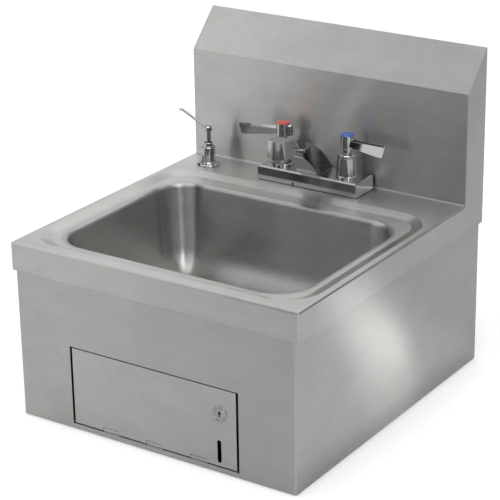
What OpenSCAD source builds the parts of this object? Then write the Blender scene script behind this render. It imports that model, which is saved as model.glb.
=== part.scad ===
// Wall-mounted hand sink in folded stainless sheet, with a drawn bowl, a deck
// faucet with two lever handles, a soap pump and a towel compartment behind a
// locked drop-down door.
// Frame: the wall is the plane y = 0, the sink reaches out to -Y, +X is to the
// right of a person who washes their hands, +Z is up. The origin is the centre
// of the four wall bracket holes.

/* [Body] */
// Width of the rim, side to side
body_w = 432; // [410:2:480]
// Depth from the wall to the front of the rim
body_d = 462; // [446:2:500]
// Thickness of the body sheet
sheet_t = 1.2; // [0.9:0.1:1.5]
// Outer radius of the folds
bend_r = 3; // [2:0.5:4]
// Height of the rim on the front and the sides
rim_h = 38; // [30:1:46]
// Width of the lip turned in under the rim
rim_return = 10; // [7:0.5:12]

/* [Deck] */
// Depth of the pressed recess round the bowl
recess_depth = 4; // [2:0.5:6]
// Width of the slope down into the recess
recess_slope_w = 14; // [8:1:16]
// Flat border beside the recess, left and right
recess_side = 9.5; // [6:0.5:10]
// Flat border in front of the recess
recess_front = 17; // [14:0.5:18]
// Deck left flat behind the recess for the faucet
faucet_deck = 62; // [58:1:62]
// Corner radius of the recess
recess_r = 50; // [44:1:56]

/* [Bowl] */
// Inside width of the bowl at its mouth
bowl_w = 355; // [330:1:360]
// Inside length of the bowl, front to back
bowl_l = 268; // [244:1:270]
// From the front of the rim to the bowl's front wall
bowl_front = 41; // [41:0.5:44]
// Depth of the bowl below the deck
bowl_depth = 127; // [110:1:130]
// Corner radius of the bowl's walls
bowl_r = 45; // [42:1:50]
// Radius of the rolled edge
roll_r = 6; // [4:0.5:7]
// How far the walls lean in on their way down
bowl_draft = 5; // [2:0.5:6]
// Radius between the walls and the floor
floor_r = 34; // [26:1:35]

/* [Splash] */
// How far the splash stands off the wall
splash_d = 51; // [44:1:56]
// Height of its upright face
splash_face_h = 153; // [130:1:180]
// Height of the slope above the face
splash_slope_h = 51; // [44:1:56]
// Gap between the splash and the wall
wall_gap = 1; // [0.5:0.25:1.5]
// Depth of the flange that hooks on the bracket
hook_h = 24; // [20:1:28]
// Radius between the deck and the splash
splash_fillet = 3; // [2.5:0.5:4]

/* [Apron] */
// From the deck to the bottom of the apron
apron_h = 240; // [226:1:260]
// How far the apron stands in from the rim's sides
apron_side = 5.5; // [3:0.5:7]
// Width of the hems along the top and the bottom
apron_hem = 10; // [7:0.5:12]
// Width of the flanges that lie on the wall
wall_flange = 22; // [20:1:26]
// From the deck down to the lower wall screws
wall_screw_drop = 215; // [200:1:220]

/* [Towel compartment] */
// Width of the door opening
open_w = 257; // [230:1:280]
// Height of the door opening
open_h = 108.5; // [90:0.5:112]
// Apron left below the opening
open_strip = 6.5; // [5.5:0.5:9]
// Gap between the door and the opening
door_gap = 3.5; // [2:0.25:4.5]
// Depth of the door's folded edges
door_edge = 12; // [10:1:14]
// Depth of the compartment behind the apron
box_d = 98; // [90:1:104]
// Thickness of the compartment's sheet
box_t = 1; // [0.8:0.1:1.2]
// Width of the towel slot, front to back
slot_w = 42; // [32:1:46]
// Outer radius of the hinge knuckles
knuckle_r = 3; // [2.75:0.25:3.5]
// Radius of the hinge pin
hinge_pin_r = 1.5; // [1.25:0.25:1.5]
// Number of knuckles on the fixed leaf
knuckles = 3; // [3:1:5]
// Length of each fixed knuckle
knuckle_l = 24; // [16:1:30]

/* [Door lock] */
// From the middle of the door to the lock
lock_x = 101; // [92:1:101]
// From the top of the door to the lock
lock_drop = 33.5; // [28:0.5:36]
// Radius of the lock's head
lock_head_r = 11; // [10:0.25:12]
// Radius of the lock's barrel
lock_barrel_r = 9; // [8:0.25:9.25]
// Length of the barrel behind the door's face
lock_barrel_l = 19; // [17:0.5:20]
// Radius of the plug that the key turns
lock_plug_r = 6; // [5:0.25:6.5]
// Length of the cam from the plug's axis
cam_l = 32; // [31:0.5:34]
// From the lock down to the middle of the sight slot
sight_drop = 51.5; // [46:0.5:52]
// Height of the sight slot in the door
sight_h = 31; // [24:1:36]
// Width of the sight slot
sight_w = 6; // [4:0.5:8]

/* [Faucet] */
// Distance between the two valves
valve_spacing = 101.6; // [100:0.4:104]
// From the splash to the line of the valves
valve_y = 27; // [27:0.5:29]
// Width of the faucet base
base_w = 158.5; // [150:0.5:164]
// Length of the faucet base, front to back
base_l = 47.5; // [44:0.5:48]
// Height of the faucet base
base_h = 20; // [16:0.5:24]
// How far the base's sides lean in
base_lean = 1.5; // [0.5:0.25:2.5]
// From the middle of the base to the notch in its front edge
weep_x = 21; // [12:1:32]
// Width of that notch
weep_w = 2.6; // [2:0.2:4]
// Height of that notch
weep_h = 4; // [3:0.5:6]
// From the line of the valves to the spout's nose
spout_reach = 101; // [92:1:110]
// Width of the spout's nose
spout_w = 28.4; // [26:0.2:31]
// Height of the spout's nose above the deck
nose_top = 89; // [84:0.5:96]
// Height of the spout's outlet face above the deck
nose_bottom = 64; // [60:0.5:68]
// Length of the flat under the nose
nose_l = 34; // [30:0.5:38]
// Radius of the arch under the spout
arch_r = 130; // [90:1:180]
// Half of the spout's width at its foot
spout_foot_w = 16.6; // [15:0.2:19]
// Radius of the spout's long crown
crown_r = 152; // [135:1:190]
// Radius of the aerator
aerator_r = 10; // [9.5:0.25:11]
// Radius of the bonnets at the foot
bonnet_r = 15; // [13:0.5:16]
// Height of the bonnets above the base
bonnet_h = 32.5; // [28:0.5:36]
// Radius of the supply shanks
shank_r = 10.3; // [9.5:0.1:10.4]
// Length of the shanks below the deck
shank_l = 60; // [50:1:70]
// Radius of the nuts and washers under the deck
shank_nut_r = 17.5; // [16.5:0.5:19]
// Height of those nuts
shank_nut_h = 9; // [7:0.5:11]
// Radius of the faucet holes in the deck
shank_hole_r = 14.3; // [12:0.1:15]

/* [Handles] */
// Radius of a handle's hub
hub_r = 9; // [8:0.25:10]
// Height of a handle's hub
hub_h = 17.4; // [15:0.2:20]
// From the hub's axis to the lever's tip
lever_l = 62.5; // [50:0.5:70]
// Height of the lever at its tip
lever_tip_h = 16.5; // [12:0.5:18]
// Height of the lever at its root
lever_root_h = 11.5; // [8:0.5:13]
// Thickness of the lever at its root
lever_t = 7; // [5:0.25:8]
// Lean of the lever's blade
lever_cant = 12; // [0:1:30]
// Turn of the hot handle from the closed place, towards the front
hot_turn = 16; // [0:1:40]
// Turn of the cold handle from the closed place, towards the front
cold_turn = 5; // [0:1:40]
// How far the tail stands out behind the hub
tail_l = 5.5; // [4:0.25:7]
// Radius of the valve stems
stem_r = 4; // [3.5:0.25:4.5]
// From the top of the base down to the stems' discs
stem_drop = 26; // [22:1:30]
// Height of the discs that close the valves
stem_disc_h = 7; // [5:0.5:9]
// Thickness of the index caps
index_t = 1.6; // [1.2:0.1:2.4]

/* [Soap pump] */
// From the side of the sink to the pump
soap_side = 46; // [44:1:54]
// From the splash to the pump
soap_y = 35; // [32:1:36]
// Radius of the pump's flange
soap_flange_r = 16; // [14:0.5:18]
// Radius of the pump's post
soap_post_r = 9.35; // [8.75:0.05:10]
// Height of the post above the deck
soap_post_h = 26.8; // [24:0.1:34]
// Radius of the collar that the stem slides in
collar_r = 6; // [5.5:0.25:7]
// Height of the collar
collar_h = 5.9; // [4:0.1:8]
// Radius of the sliding stem
plunger_r = 3.7; // [3:0.1:4]
// Stem that shows between the collar and the head
plunger_show = 16.3; // [14:0.1:20]
// Press of the pump
pump_stroke = 12; // [8:0.5:13]
// Length of the nozzle, from the head's axis
nozzle_l = 47; // [36:1:52]
// Rise of the nozzle, in degrees
nozzle_rise = 26; // [0:1:35]
// Radius of the nozzle
nozzle_r = 1.9; // [1.5:0.1:2.5]
// Radius of the soap bottle
bottle_r = 30; // [24:1:32]
// From the deck to the bottom of the bottle
bottle_drop = 200; // [150:1:215]

/* [Drain] */
// Radius of the drain's flange
drain_flange_r = 36.5; // [34:0.5:40]
// Radius of the drain's body
drain_body_r = 24; // [22:0.5:25]
// Height of the collar at the foot of the drain's body
drain_collar = 6; // [5:0.5:7]
// Radius of the nut under the bowl
drain_nut_r = 36; // [33:0.5:38]
// Height of that nut
drain_nut_h = 8.5; // [7:0.5:10]
// How far the slip nut reaches below the drain's body
slip_lip = 5; // [4:0.5:7]
// Length of the drain's body below the bowl
drain_body_l = 34; // [28:1:40]
// Depth of the strainer's cup
strainer_depth = 7; // [5:0.5:8]
// Height of the strainer's post
strainer_post = 9; // [8:0.5:11]
// Outside radius of the tailpiece
tailpiece_r = 19.05; // [16:0.05:20]
// From the deck to the bottom of the tailpiece
tailpiece_drop = 236; // [220:1:238]

/* [Wall bracket] */
// Width of the bracket
bracket_w = 330; // [300:2:370]
// Thickness of the bracket
bracket_t = 2; // [1.5:0.25:2.5]
// Distance between its screw columns
bolt_dx = 254; // [200:1:280]
// Distance between its screw rows
bolt_dz = 25.4; // [20:0.2:27]
// Radius of its screw holes
bolt_r = 3.5; // [2.5:0.25:4]

/* [Hidden] */

$fn = 64;
// Amount by which a cut runs past what it cuts
past = 2;
// Amount by which two shapes of one sheet share their edge
share = 0.3;
// Radial clearance of a shaft in its hole
running = 0.05;
// Gap between a rigid piece and the one that it is screwed to
seat = 0.1;

half_w = body_w / 2;
splash_h = splash_face_h + splash_slope_h;
// The bracket's holes lie this far below the top of the splash
bracket_drop = 44;
deck_z = bracket_drop - splash_h;
deck_back = -splash_d;
deck_front = -body_d;

// Recess outline on the deck, and the foot of its slope
recess_x = half_w - recess_side;
recess_y0 = deck_front + recess_front;
recess_y1 = deck_back - faucet_deck;
foot_x = recess_x - recess_slope_w;
foot_y0 = recess_y0 + recess_slope_w;
foot_y1 = recess_y1 - recess_slope_w;
foot_r = recess_r - recess_slope_w;

// Bowl walls at the mouth
bowl_x = bowl_w / 2;
bowl_y0 = deck_front + bowl_front;
bowl_y1 = bowl_y0 + bowl_l;
bowl_cy = (bowl_y0 + bowl_y1) / 2;
bowl_lip = roll_r + 2.5;
ledge_z = -recess_depth;
floor_z = -bowl_depth;
// Inset of the flat floor from the walls
floor_inset = bowl_draft + floor_r;
pocket_r = drain_flange_r + 4;
pocket_depth = 3;
drain_hole_r = drain_body_r + 1.5;

// Splash section
slope_run = splash_d - wall_gap;
slope_a = atan2(splash_slope_h, slope_run);
ridge_y = -wall_gap;
hook_t = sheet_t;

// Apron
apron_x = half_w - apron_side;
apron_y = deck_front + sheet_t;
apron_in_y = apron_y + sheet_t;
lower_bolt_x = apron_x - wall_flange / 2;

// Door opening, door and hinge
open_z0 = -apron_h + open_strip;
open_z1 = open_z0 + open_h;
hinge_y = apron_y + knuckle_r;
hinge_z = open_z0 + 0.5 + knuckle_r;
door_x = open_w / 2 - door_gap;
door_top = open_z1 - 1.5;
knuckle_bore = hinge_pin_r + running;
knuckle_pitch = (2 * door_x - knuckle_l) / (knuckles - 1) * 0.6;
leaf_t = 1;

// Towel compartment
box_x = open_w / 2 + 11.5;
box_back = apron_in_y + box_d;
box_bottom = -apron_h + 4;
box_top = -bowl_depth - sheet_t - pocket_depth - 6;
slot_y0 = apron_in_y + 30;
slot_y1 = slot_y0 + slot_w;

// Lock
lock_z = door_top - lock_drop;
lock_head_t = 1;
lock_end_y = apron_y + lock_barrel_l;
plug_end_y = lock_end_y + 2;
cam_t = 2;
cam_w = 14;
cam_y = lock_end_y + 0.4;
sight_x = lock_x - 1.5;
sight_z = lock_z - sight_drop;
tab_y1 = cam_y - 2;

// Faucet
faucet_y = deck_back - valve_y;
valve_x = valve_spacing / 2;
gasket_t = 1;
base_top = base_h;
bonnet_top = base_top + bonnet_h;
neck_top = bonnet_top + 7.6;
hub_z0 = neck_top + 1;
hub_z1 = hub_z0 + hub_h;
stem_top = hub_z0 + 11;
stem_foot = base_top - stem_drop;
screw_r = 2;
shank_bore = stem_r + 2.5;
// Lower end of the shank nuts, less a small gap
washer_t = 1.5;
shank_step = -sheet_t - washer_t - shank_nut_h - 0.5;
// The tube inside the nuts is this much smaller, so that hoses slide up to them
relief = 0.3;
shank_in = shank_r - relief;
// Ends of the spout's crown and of the arch under it, in Y and Z
heel = [base_l / 2 - 1.75, base_top - 1.5];
nose = [3 - spout_reach, nose_top];
arch_foot = [3.75 - base_l / 2, base_top + 2];
arch_end = [nose_l - spout_reach, nose_bottom];
aerator_y = -spout_reach + aerator_r + 1;
aerator_h = 6;

// Soap pump
soap_x = half_w - soap_side;
soap_cy = deck_back - soap_y;
collar_top = soap_post_h + collar_h;
head_z0 = collar_top + plunger_show;
head_h = 7.5;
head_r = 5.35;
cyl_r = 5.2;
cyl_out_r = 6.9;
plug_z0 = soap_post_h - 7;
piston_h = 6.5;
piston_z1 = plug_z0 - 0.3;
piston_z0 = piston_z1 - piston_h;
// The spring is closed this much below the end of the stroke
spring_rest = 21;
spring_seat = piston_z0 - pump_stroke - spring_rest;
spring_wire = 0.9;
spring_r = 3.8;
spring_turns = 7;
cyl_end = -72;
// Length of the spigot at the foot of the pump's barrel
spigot_l = 14;
spigot_r = 2.9;
shank_out_r = 11.5;
shank_in_r = cyl_out_r + 0.2;
soap_shank_l = 52;
bottle_t = 1.8;
bottle_neck_top = -36;

// Drain
drain_floor = floor_z - pocket_depth;
drain_foot = drain_floor - drain_body_l;
tailpiece_t = 1.2;
tailpiece_top = drain_foot + 14;
tail_in = tailpiece_r - relief;
tail_step = drain_foot - slip_lip - 0.5;
drain_gasket_t = 2.5;

// Wall bracket
bracket_z0 = -24;
hook_foot = bracket_drop - hook_h;
bracket_z1 = hook_foot - 2;
lip_y0 = ridge_y - hook_t - 0.6 - bracket_t;

// Shapes that repeat

// Rectangle with round corners between two corner points
module round_rect(x0, x1, y0, y1, r) {
    translate([x0 + r, y0]) square([x1 - x0 - 2 * r, y1 - y0]);
    translate([x0, y0 + r]) square([x1 - x0, y1 - y0 - 2 * r]);
    for (cx = [x0 + r, x1 - r], cy = [y0 + r, y1 - r])
        translate([cx, cy]) circle(r);
}

// Plate with round corners, from z up by h
module round_plate(x0, x1, y0, y1, r, z, h) {
    translate([0, 0, z]) linear_extrude(height = h) round_rect(x0, x1, y0, y1, r);
}

// Runs a section round a rounded rectangle. Section x = 0 lies on the outline and
// +x points outwards.
module sweep_round(x0, x1, y0, y1, r) {
    for (c = [[x1 - r, y1 - r, 0], [x0 + r, y1 - r, 90], [x0 + r, y0 + r, 180],
              [x1 - r, y0 + r, 270]])
        translate([c[0], c[1], 0]) rotate([0, 0, c[2]])
            rotate_extrude(angle = 90, $fn = 96) translate([r, 0]) children();
    for (s = [[x1, y1 - r, 0, y1 - y0], [x0 + r, y1, 90, x1 - x0], [x0, y0 + r, 180, y1 - y0],
              [x1 - r, y0, 270, x1 - x0]])
        translate([s[0], s[1], 0]) rotate([0, 0, s[2]]) rotate([90, 0, 0])
            linear_extrude(height = s[3] - 2 * r) children();
}

// Points of an arc in the drawing plane
function arc(cx, cy, r, a0, a1, n) =
    [for (i = [0:n]) [cx + r * cos(a0 + (a1 - a0) * i / n), cy + r * sin(a0 + (a1 - a0) * i / n)]];

// Section in Y and Z, drawn as x and y, run along X from x0 to x1
module along_x(x0, x1) {
    translate([x0, 0, 0]) rotate([90, 0, 90]) linear_extrude(height = x1 - x0) children();
}

// Section in X and Z, drawn as x and y, run along Y from y0 to y1
module along_y(y0, y1) {
    translate([0, y1, 0]) rotate([90, 0, 0]) linear_extrude(height = y1 - y0) children();
}

// Box between two corners
module block(a, b) {
    translate(a) cube(b - a);
}

// Upright ring or disc
module tube(r_out, r_in, z0, z1) {
    difference() {
        translate([0, 0, z0]) cylinder(h = z1 - z0, r = r_out);
        translate([0, 0, z0 - past]) cylinder(h = z1 - z0 + 2 * past, r = r_in);
    }
}

// Hexagonal nut with a round bore
module hex_nut(across_r, bore_r, z0, z1) {
    difference() {
        translate([0, 0, z0]) cylinder(h = z1 - z0, r = across_r, $fn = 6);
        translate([0, 0, z0 - past]) cylinder(h = z1 - z0 + 2 * past, r = bore_r);
    }
}

// Puts its children at deck height
module on_deck() {
    translate([0, 0, deck_z]) children();
}

// Folded body

// Block of the rim's outline, drawn in by i, with folded top edges
module rim_block(i, bottom) {
    r = bend_r - i;
    intersection() {
        translate([0, 0, bottom]) linear_extrude(height = -bottom - i) union() {
            round_rect(-half_w + i, half_w - i, deck_front + i, deck_front + i + 60, r);
            translate([-half_w + i, deck_front + i + 20])
                square([2 * (half_w - i), deck_back - deck_front - i - 20]);
        }
        along_x(-half_w, half_w) union() {
            translate([deck_front + i + r, bottom]) square([body_d - splash_d - i - r, -bottom - i]);
            translate([deck_front + i, bottom]) square([2 * r, -bottom - i - r]);
            translate([deck_front + i + r, -i - r]) circle(r);
        }
        along_y(deck_front, deck_back) union() {
            translate([-half_w + i, bottom]) square([2 * (half_w - i), -bottom - i - r]);
            translate([-half_w + i + r, bottom]) square([2 * (half_w - i - r), -bottom - i]);
            for (s = [-1, 1]) translate([s * (half_w - i - r), -i - r]) circle(r);
        }
    }
}

// Section of the splash sheet in Y and Z: face, slope and hook flange
module splash_section() {
    a = slope_a;
    t = sheet_t;
    bend_s = t * (1 - sin(a)) / cos(a);
    ridge_s = (slope_run - t - t * sin(a)) / cos(a);
    polygon([
        [deck_back, splash_fillet - share],
        [deck_back, splash_face_h],
        [ridge_y, splash_h],
        [ridge_y, splash_h - hook_h],
        [ridge_y - t, splash_h - hook_h],
        [ridge_y - t, splash_face_h - t * cos(a) + ridge_s * sin(a)],
        [deck_back + t, splash_face_h - t * cos(a) + bend_s * sin(a)],
        [deck_back + t, splash_fillet - share]
    ]);
    difference() {
        translate([deck_back - splash_fillet, splash_fillet]) circle(splash_fillet + t);
        translate([deck_back - splash_fillet, splash_fillet]) circle(splash_fillet);
        translate([deck_back - 3 * splash_fillet, splash_fillet])
            square([6 * splash_fillet, 3 * splash_fillet]);
        translate([deck_back - 4 * splash_fillet, -splash_fillet])
            square([3 * splash_fillet, 4 * splash_fillet]);
    }
}

module basin_top() color([0.72, 0.71, 0.69]) on_deck() {
    difference() {
        union() {
            difference() {
                rim_block(0, -rim_h);
                intersection() {
                    rim_block(sheet_t, -rim_h + sheet_t);
                    block([-body_w, -body_d - past, -rim_h], [body_w, past, 0]);
                }
                block([-half_w + sheet_t, deck_back - past - splash_fillet, -rim_h + sheet_t],
                      [half_w - sheet_t, deck_back + past, -sheet_t]);
                block([-half_w + sheet_t + rim_return, deck_front + sheet_t + rim_return, -rim_h - past],
                      [half_w - sheet_t - rim_return, deck_back + past, -rim_h + 2 * sheet_t]);
                block([-half_w + sheet_t, deck_back - splash_fillet, -sheet_t - past],
                      [half_w - sheet_t, deck_back + past, past]);
                round_plate(-recess_x, recess_x, recess_y0, recess_y1, recess_r,
                    -sheet_t - past, sheet_t + 2 * past);
            }
            sweep_round(-recess_x, recess_x, recess_y0, recess_y1, recess_r)
                polygon([[share, 0], [0, 0], [-recess_slope_w, ledge_z],
                    [-recess_slope_w - share, ledge_z], [-recess_slope_w - share, ledge_z - sheet_t],
                    [-recess_slope_w, ledge_z - sheet_t], [0, -sheet_t], [share, -sheet_t]]);
            round_plate(-foot_x, foot_x, foot_y0, foot_y1, foot_r, ledge_z - sheet_t, sheet_t);
            along_x(-half_w + sheet_t, half_w - sheet_t) splash_section();
        }
        round_plate(-bowl_x - bowl_lip, bowl_x + bowl_lip, bowl_y0 - bowl_lip, bowl_y1 + bowl_lip,
            bowl_r + bowl_lip, ledge_z - sheet_t - past, sheet_t + 2 * past);
        for (s = [-1, 1]) translate([s * valve_x, faucet_y, -sheet_t - past])
            cylinder(h = sheet_t + 2 * past, r = shank_hole_r);
        translate([-soap_x, soap_cy, -sheet_t - past]) cylinder(h = sheet_t + 2 * past, r = shank_out_r + 1);
    }
}

// End plate of the splash on the side s, with its lips turned in
module splash_end(s) {
    x_out = s * half_w;
    x_in = s * (half_w - sheet_t);
    x_lip = s * (half_w - sheet_t - rim_return);
    along_x(min(x_out, x_in), max(x_out, x_in))
        polygon([[deck_back, -rim_h], [deck_back, splash_face_h], [ridge_y, splash_h], [ridge_y, -rim_h]]);
    block([min(x_in, x_lip), deck_back, -rim_h], [max(x_in, x_lip), ridge_y, -rim_h + sheet_t]);
    block([min(x_in, x_lip), ridge_y - sheet_t, -rim_h], [max(x_in, x_lip), ridge_y, splash_h - hook_h - 6]);
}

module splash_end_left() color([0.68, 0.67, 0.65]) on_deck() splash_end(-1);

module splash_end_right() color([0.62, 0.61, 0.59]) on_deck() splash_end(1);

// Hollow of the bowl in section, grown outwards by g
module bowl_hollow(g) {
    roll_z = ledge_z - roll_r;
    foot_z = floor_z + floor_r;
    across = floor_inset + roll_r;
    drop = roll_z - foot_z;
    // Lean of the straight wall that runs from the one curve to the other
    lean = acos((roll_r + floor_r) / norm([across, drop])) - atan2(drop, across);
    n = [cos(lean), -sin(lean)];
    difference() {
        union() {
            translate([-floor_inset, foot_z]) circle(floor_r + g, $fn = 96);
            polygon([[-floor_inset - share, floor_z - g], [-floor_inset, floor_z - g], [-floor_inset, foot_z],
                [-floor_inset, foot_z] + (floor_r + g) * n, [roll_r, roll_z] - (roll_r - g) * n,
                [roll_r, roll_z], [roll_r, 0], [-floor_inset - share, 0]]);
        }
        translate([roll_r, roll_z]) circle(roll_r - g, $fn = 96);
        translate([-2 * floor_inset - floor_r, floor_z - 2 * g])
            square([floor_inset + floor_r - share, bowl_depth]);
    }
}

// Wall of the bowl in section: lip, rolled edge, leaning wall and floor curve
module bowl_section() {
    difference() {
        bowl_hollow(sheet_t);
        bowl_hollow(0);
        translate([-body_w, ledge_z]) square([2 * body_w, body_w]);
    }
    translate([roll_r - share, ledge_z - sheet_t]) square([bowl_lip - roll_r + share, sheet_t]);
}

module bowl() color([0.6, 0.6, 0.59]) on_deck() {
    r = bowl_r - floor_inset;
    difference() {
        union() {
            sweep_round(-bowl_x, bowl_x, bowl_y0, bowl_y1, bowl_r) bowl_section();
            round_plate(-bowl_x + floor_inset, bowl_x - floor_inset, bowl_y0 + floor_inset,
                bowl_y1 - floor_inset, r, floor_z - sheet_t, sheet_t);
            translate([0, bowl_cy, drain_floor - sheet_t])
                cylinder(h = pocket_depth + sheet_t, r = pocket_r + sheet_t);
        }
        translate([0, bowl_cy, drain_floor]) cylinder(h = pocket_depth + past, r = pocket_r);
        translate([0, bowl_cy, drain_floor - sheet_t - past])
            cylinder(h = sheet_t + 2 * past, r = drain_hole_r);
    }
}

// Outline of the apron in plan, drawn in by i
module apron_plan(i) {
    r = bend_r - min(i, bend_r - 0.5);
    round_rect(-apron_x + i, apron_x - i, apron_y + i, apron_y + i + 60, r);
    translate([-apron_x + i, apron_y + i + 20]) square([2 * (apron_x - i), -apron_y - i - 20]);
}

module apron() color([0.66, 0.65, 0.63]) on_deck() {
    h = apron_h - rim_h;
    hem = sheet_t + apron_hem;
    difference() {
        translate([0, 0, -apron_h]) linear_extrude(height = h) apron_plan(0);
        translate([0, 0, -apron_h + sheet_t]) linear_extrude(height = h - 2 * sheet_t)
            difference() {
                apron_plan(sheet_t);
                translate([-body_w, -sheet_t]) square([2 * body_w, 2 * sheet_t]);
            }
        translate([0, 0, -apron_h - past]) linear_extrude(height = h + 2 * past)
            translate([-apron_x + hem, apron_y + hem]) square([2 * (apron_x - hem), -apron_y - 2 * hem]);
        translate([0, 0, -apron_h - past]) linear_extrude(height = h + 2 * past)
            translate([-apron_x + wall_flange, -hem]) square([2 * (apron_x - wall_flange), body_d]);
        block([-open_w / 2, apron_y - past, open_z0], [open_w / 2, apron_in_y + past, open_z1]);
        for (s = [-1, 1]) translate([s * lower_bolt_x, past, -wall_screw_drop])
            rotate([90, 0, 0]) cylinder(h = sheet_t + 2 * past, r = bolt_r);
    }
}

// Towel compartment

module towel_box() color([0.6, 0.6, 0.58]) on_deck() {
    t = box_t;
    slope_y = apron_in_y + 34;
    top_front = open_z1 + 9;
    for (s = [-1, 1]) along_x(s > 0 ? box_x - t : -box_x, s > 0 ? box_x : -box_x + t)
        polygon([[apron_in_y, box_bottom], [apron_in_y, top_front], [slope_y, box_top],
            [box_back, box_top], [box_back, box_bottom]]);
    along_x(-box_x, box_x) polygon([[apron_in_y, top_front], [slope_y, box_top], [box_back, box_top],
        [box_back, box_bottom], [slot_y1, box_bottom], [slot_y1, box_bottom + 6],
        [slot_y1 + t, box_bottom + 6], [slot_y1 + t, box_bottom + t], [box_back - t, box_bottom + t],
        [box_back - t, box_top - t], [slope_y, box_top - t], [apron_in_y, top_front - t]]);
    along_x(-box_x, box_x) polygon([[slot_y0 - 14, box_bottom], [slot_y0, box_bottom],
        [slot_y0, box_bottom + 6], [slot_y0 - t, box_bottom + 6], [slot_y0 - t, box_bottom + t],
        [slot_y0 - 14, box_bottom + t]]);
    // Flanges against the back of the apron
    for (s = [-1, 1]) {
        x0 = min(s * (box_x - t), s * (box_x + 10));
        x1 = max(s * (box_x - t), s * (box_x + 10));
        block([x0, apron_in_y, box_bottom], [x1, apron_in_y + t, top_front]);
    }
    // Strike that the lock's cam turns behind
    block([open_w / 2 - 1, tab_y1 - t, lock_z - 12], [box_x, tab_y1, lock_z + 12]);
}

// Spans of the fixed knuckles along the hinge, widened by g on each side, up to h above it
module knuckle_spans(g, h) {
    for (i = [0:knuckles - 1]) {
        x = (i - (knuckles - 1) / 2) * knuckle_pitch;
        block([x - knuckle_l / 2 - g, hinge_y - 2 * knuckle_r, hinge_z - 2 * knuckle_r],
              [x + knuckle_l / 2 + g, hinge_y + 2 * knuckle_r, hinge_z + h]);
    }
}

// Rolled knuckle along the hinge line
module hinge_roll(x0, x1) {
    translate([x0, hinge_y, hinge_z]) rotate([0, 90, 0]) difference() {
        cylinder(h = x1 - x0, r = knuckle_r);
        translate([0, 0, -past]) cylinder(h = x1 - x0 + 2 * past, r = knuckle_bore);
    }
}

module towel_door() color([0.64, 0.63, 0.61]) on_deck() {
    t = sheet_t;
    difference() {
        union() {
            difference() {
                block([-door_x, apron_y, hinge_z], [door_x, apron_y + t, door_top]);
                translate([-door_x - past, hinge_y, hinge_z]) rotate([0, 90, 0])
                    cylinder(h = 2 * door_x + 2 * past, r = knuckle_bore + share);
            }
            hinge_roll(-door_x, door_x);
            block([-door_x, apron_y, door_top - t], [door_x, apron_y + door_edge, door_top]);
            for (s = [-1, 1]) {
                x0 = min(s * door_x, s * (door_x - t));
                x1 = max(s * door_x, s * (door_x - t));
                block([x0, apron_y, hinge_z + knuckle_r + 2], [x1, apron_y + door_edge, door_top]);
            }
        }
        knuckle_spans(0.4, knuckle_r + 0.4);
        translate([lock_x, apron_y - past, lock_z]) rotate([-90, 0, 0])
            cylinder(h = t + 2 * past, r = lock_barrel_r + seat);
        translate([sight_x, 0, sight_z]) for (s = [-1, 1])
            translate([0, apron_y - past, s * (sight_h - sight_w) / 2]) rotate([-90, 0, 0])
                cylinder(h = t + 2 * past, r = sight_w / 2);
        block([sight_x - sight_w / 2, apron_y - past, sight_z - (sight_h - sight_w) / 2],
              [sight_x + sight_w / 2, apron_y + t + past, sight_z + (sight_h - sight_w) / 2]);
    }
}

module door_hinge_leaf() color([0.55, 0.55, 0.54]) on_deck() {
    intersection() {
        hinge_roll(-door_x, door_x);
        knuckle_spans(0, 2 * knuckle_r);
    }
    block([-door_x, apron_in_y, -apron_h + sheet_t + 0.1], [door_x, apron_in_y + leaf_t, open_z0 - 0.3]);
    difference() {
        intersection() {
            block([-door_x, apron_in_y, open_z0 - 1], [door_x, apron_in_y + leaf_t, hinge_z]);
            knuckle_spans(0, 2 * knuckle_r);
        }
        translate([-door_x - past, hinge_y, hinge_z]) rotate([0, 90, 0])
            cylinder(h = 2 * door_x + 2 * past, r = knuckle_bore + share);
    }
}

module door_hinge_pin() color([0.5, 0.5, 0.5]) on_deck()
    translate([-door_x, hinge_y, hinge_z]) rotate([0, 90, 0]) cylinder(h = 2 * door_x, r = hinge_pin_r);

// Turns a lock piece so that +Z runs into the door, with z = 0 on its face
module on_lock() {
    translate([lock_x, apron_y, deck_z + lock_z]) rotate([-90, 0, 0]) children();
}

module lock_barrel() color([0.75, 0.75, 0.76]) on_lock() difference() {
    union() {
        // Head with a rounded rim and a ring pressed into its face
        rotate_extrude() polygon([[0, 0], [0, -lock_head_t], [lock_head_r - 3.6, -lock_head_t],
            [lock_head_r - 3.1, 0.6 - lock_head_t], [lock_head_r - 2.3, 0.6 - lock_head_t],
            [lock_head_r - 1.8, -lock_head_t], [lock_head_r - 0.8, -lock_head_t],
            [lock_head_r, 0.6 - lock_head_t], [lock_head_r, 0]]);
        cylinder(h = lock_barrel_l, r = lock_barrel_r);
    }
    translate([0, 0, -past - lock_head_t]) cylinder(h = lock_barrel_l + 3 * past, r = lock_plug_r + running);
}

module lock_nut() color([0.7, 0.7, 0.7]) on_lock()
    hex_nut(13, lock_barrel_r + seat, sheet_t, sheet_t + 4);

module lock_plug() color([0.8, 0.8, 0.8]) on_lock() difference() {
    translate([0, 0, 0.2 - lock_head_t])
        cylinder(h = plug_end_y - apron_y + lock_head_t - 0.2, r = lock_plug_r);
    block([-0.9, -4, -past - lock_head_t], [0.9, 4, 5]);
    translate([0, 0, plug_end_y - apron_y - 8]) cylinder(h = 8 + past, r = 2);
}

module lock_cam() color([0.7, 0.7, 0.68]) on_lock() difference() {
    union() {
        translate([0, 0, cam_y - apron_y]) cylinder(h = cam_t, r = cam_w / 2 + 1.5);
        block([-cam_w / 2, 0, cam_y - apron_y], [cam_w / 2, cam_l, cam_y - apron_y + cam_t]);
    }
    translate([0, 0, cam_y - apron_y - past]) cylinder(h = cam_t + 2 * past, r = lock_plug_r);
}

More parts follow.
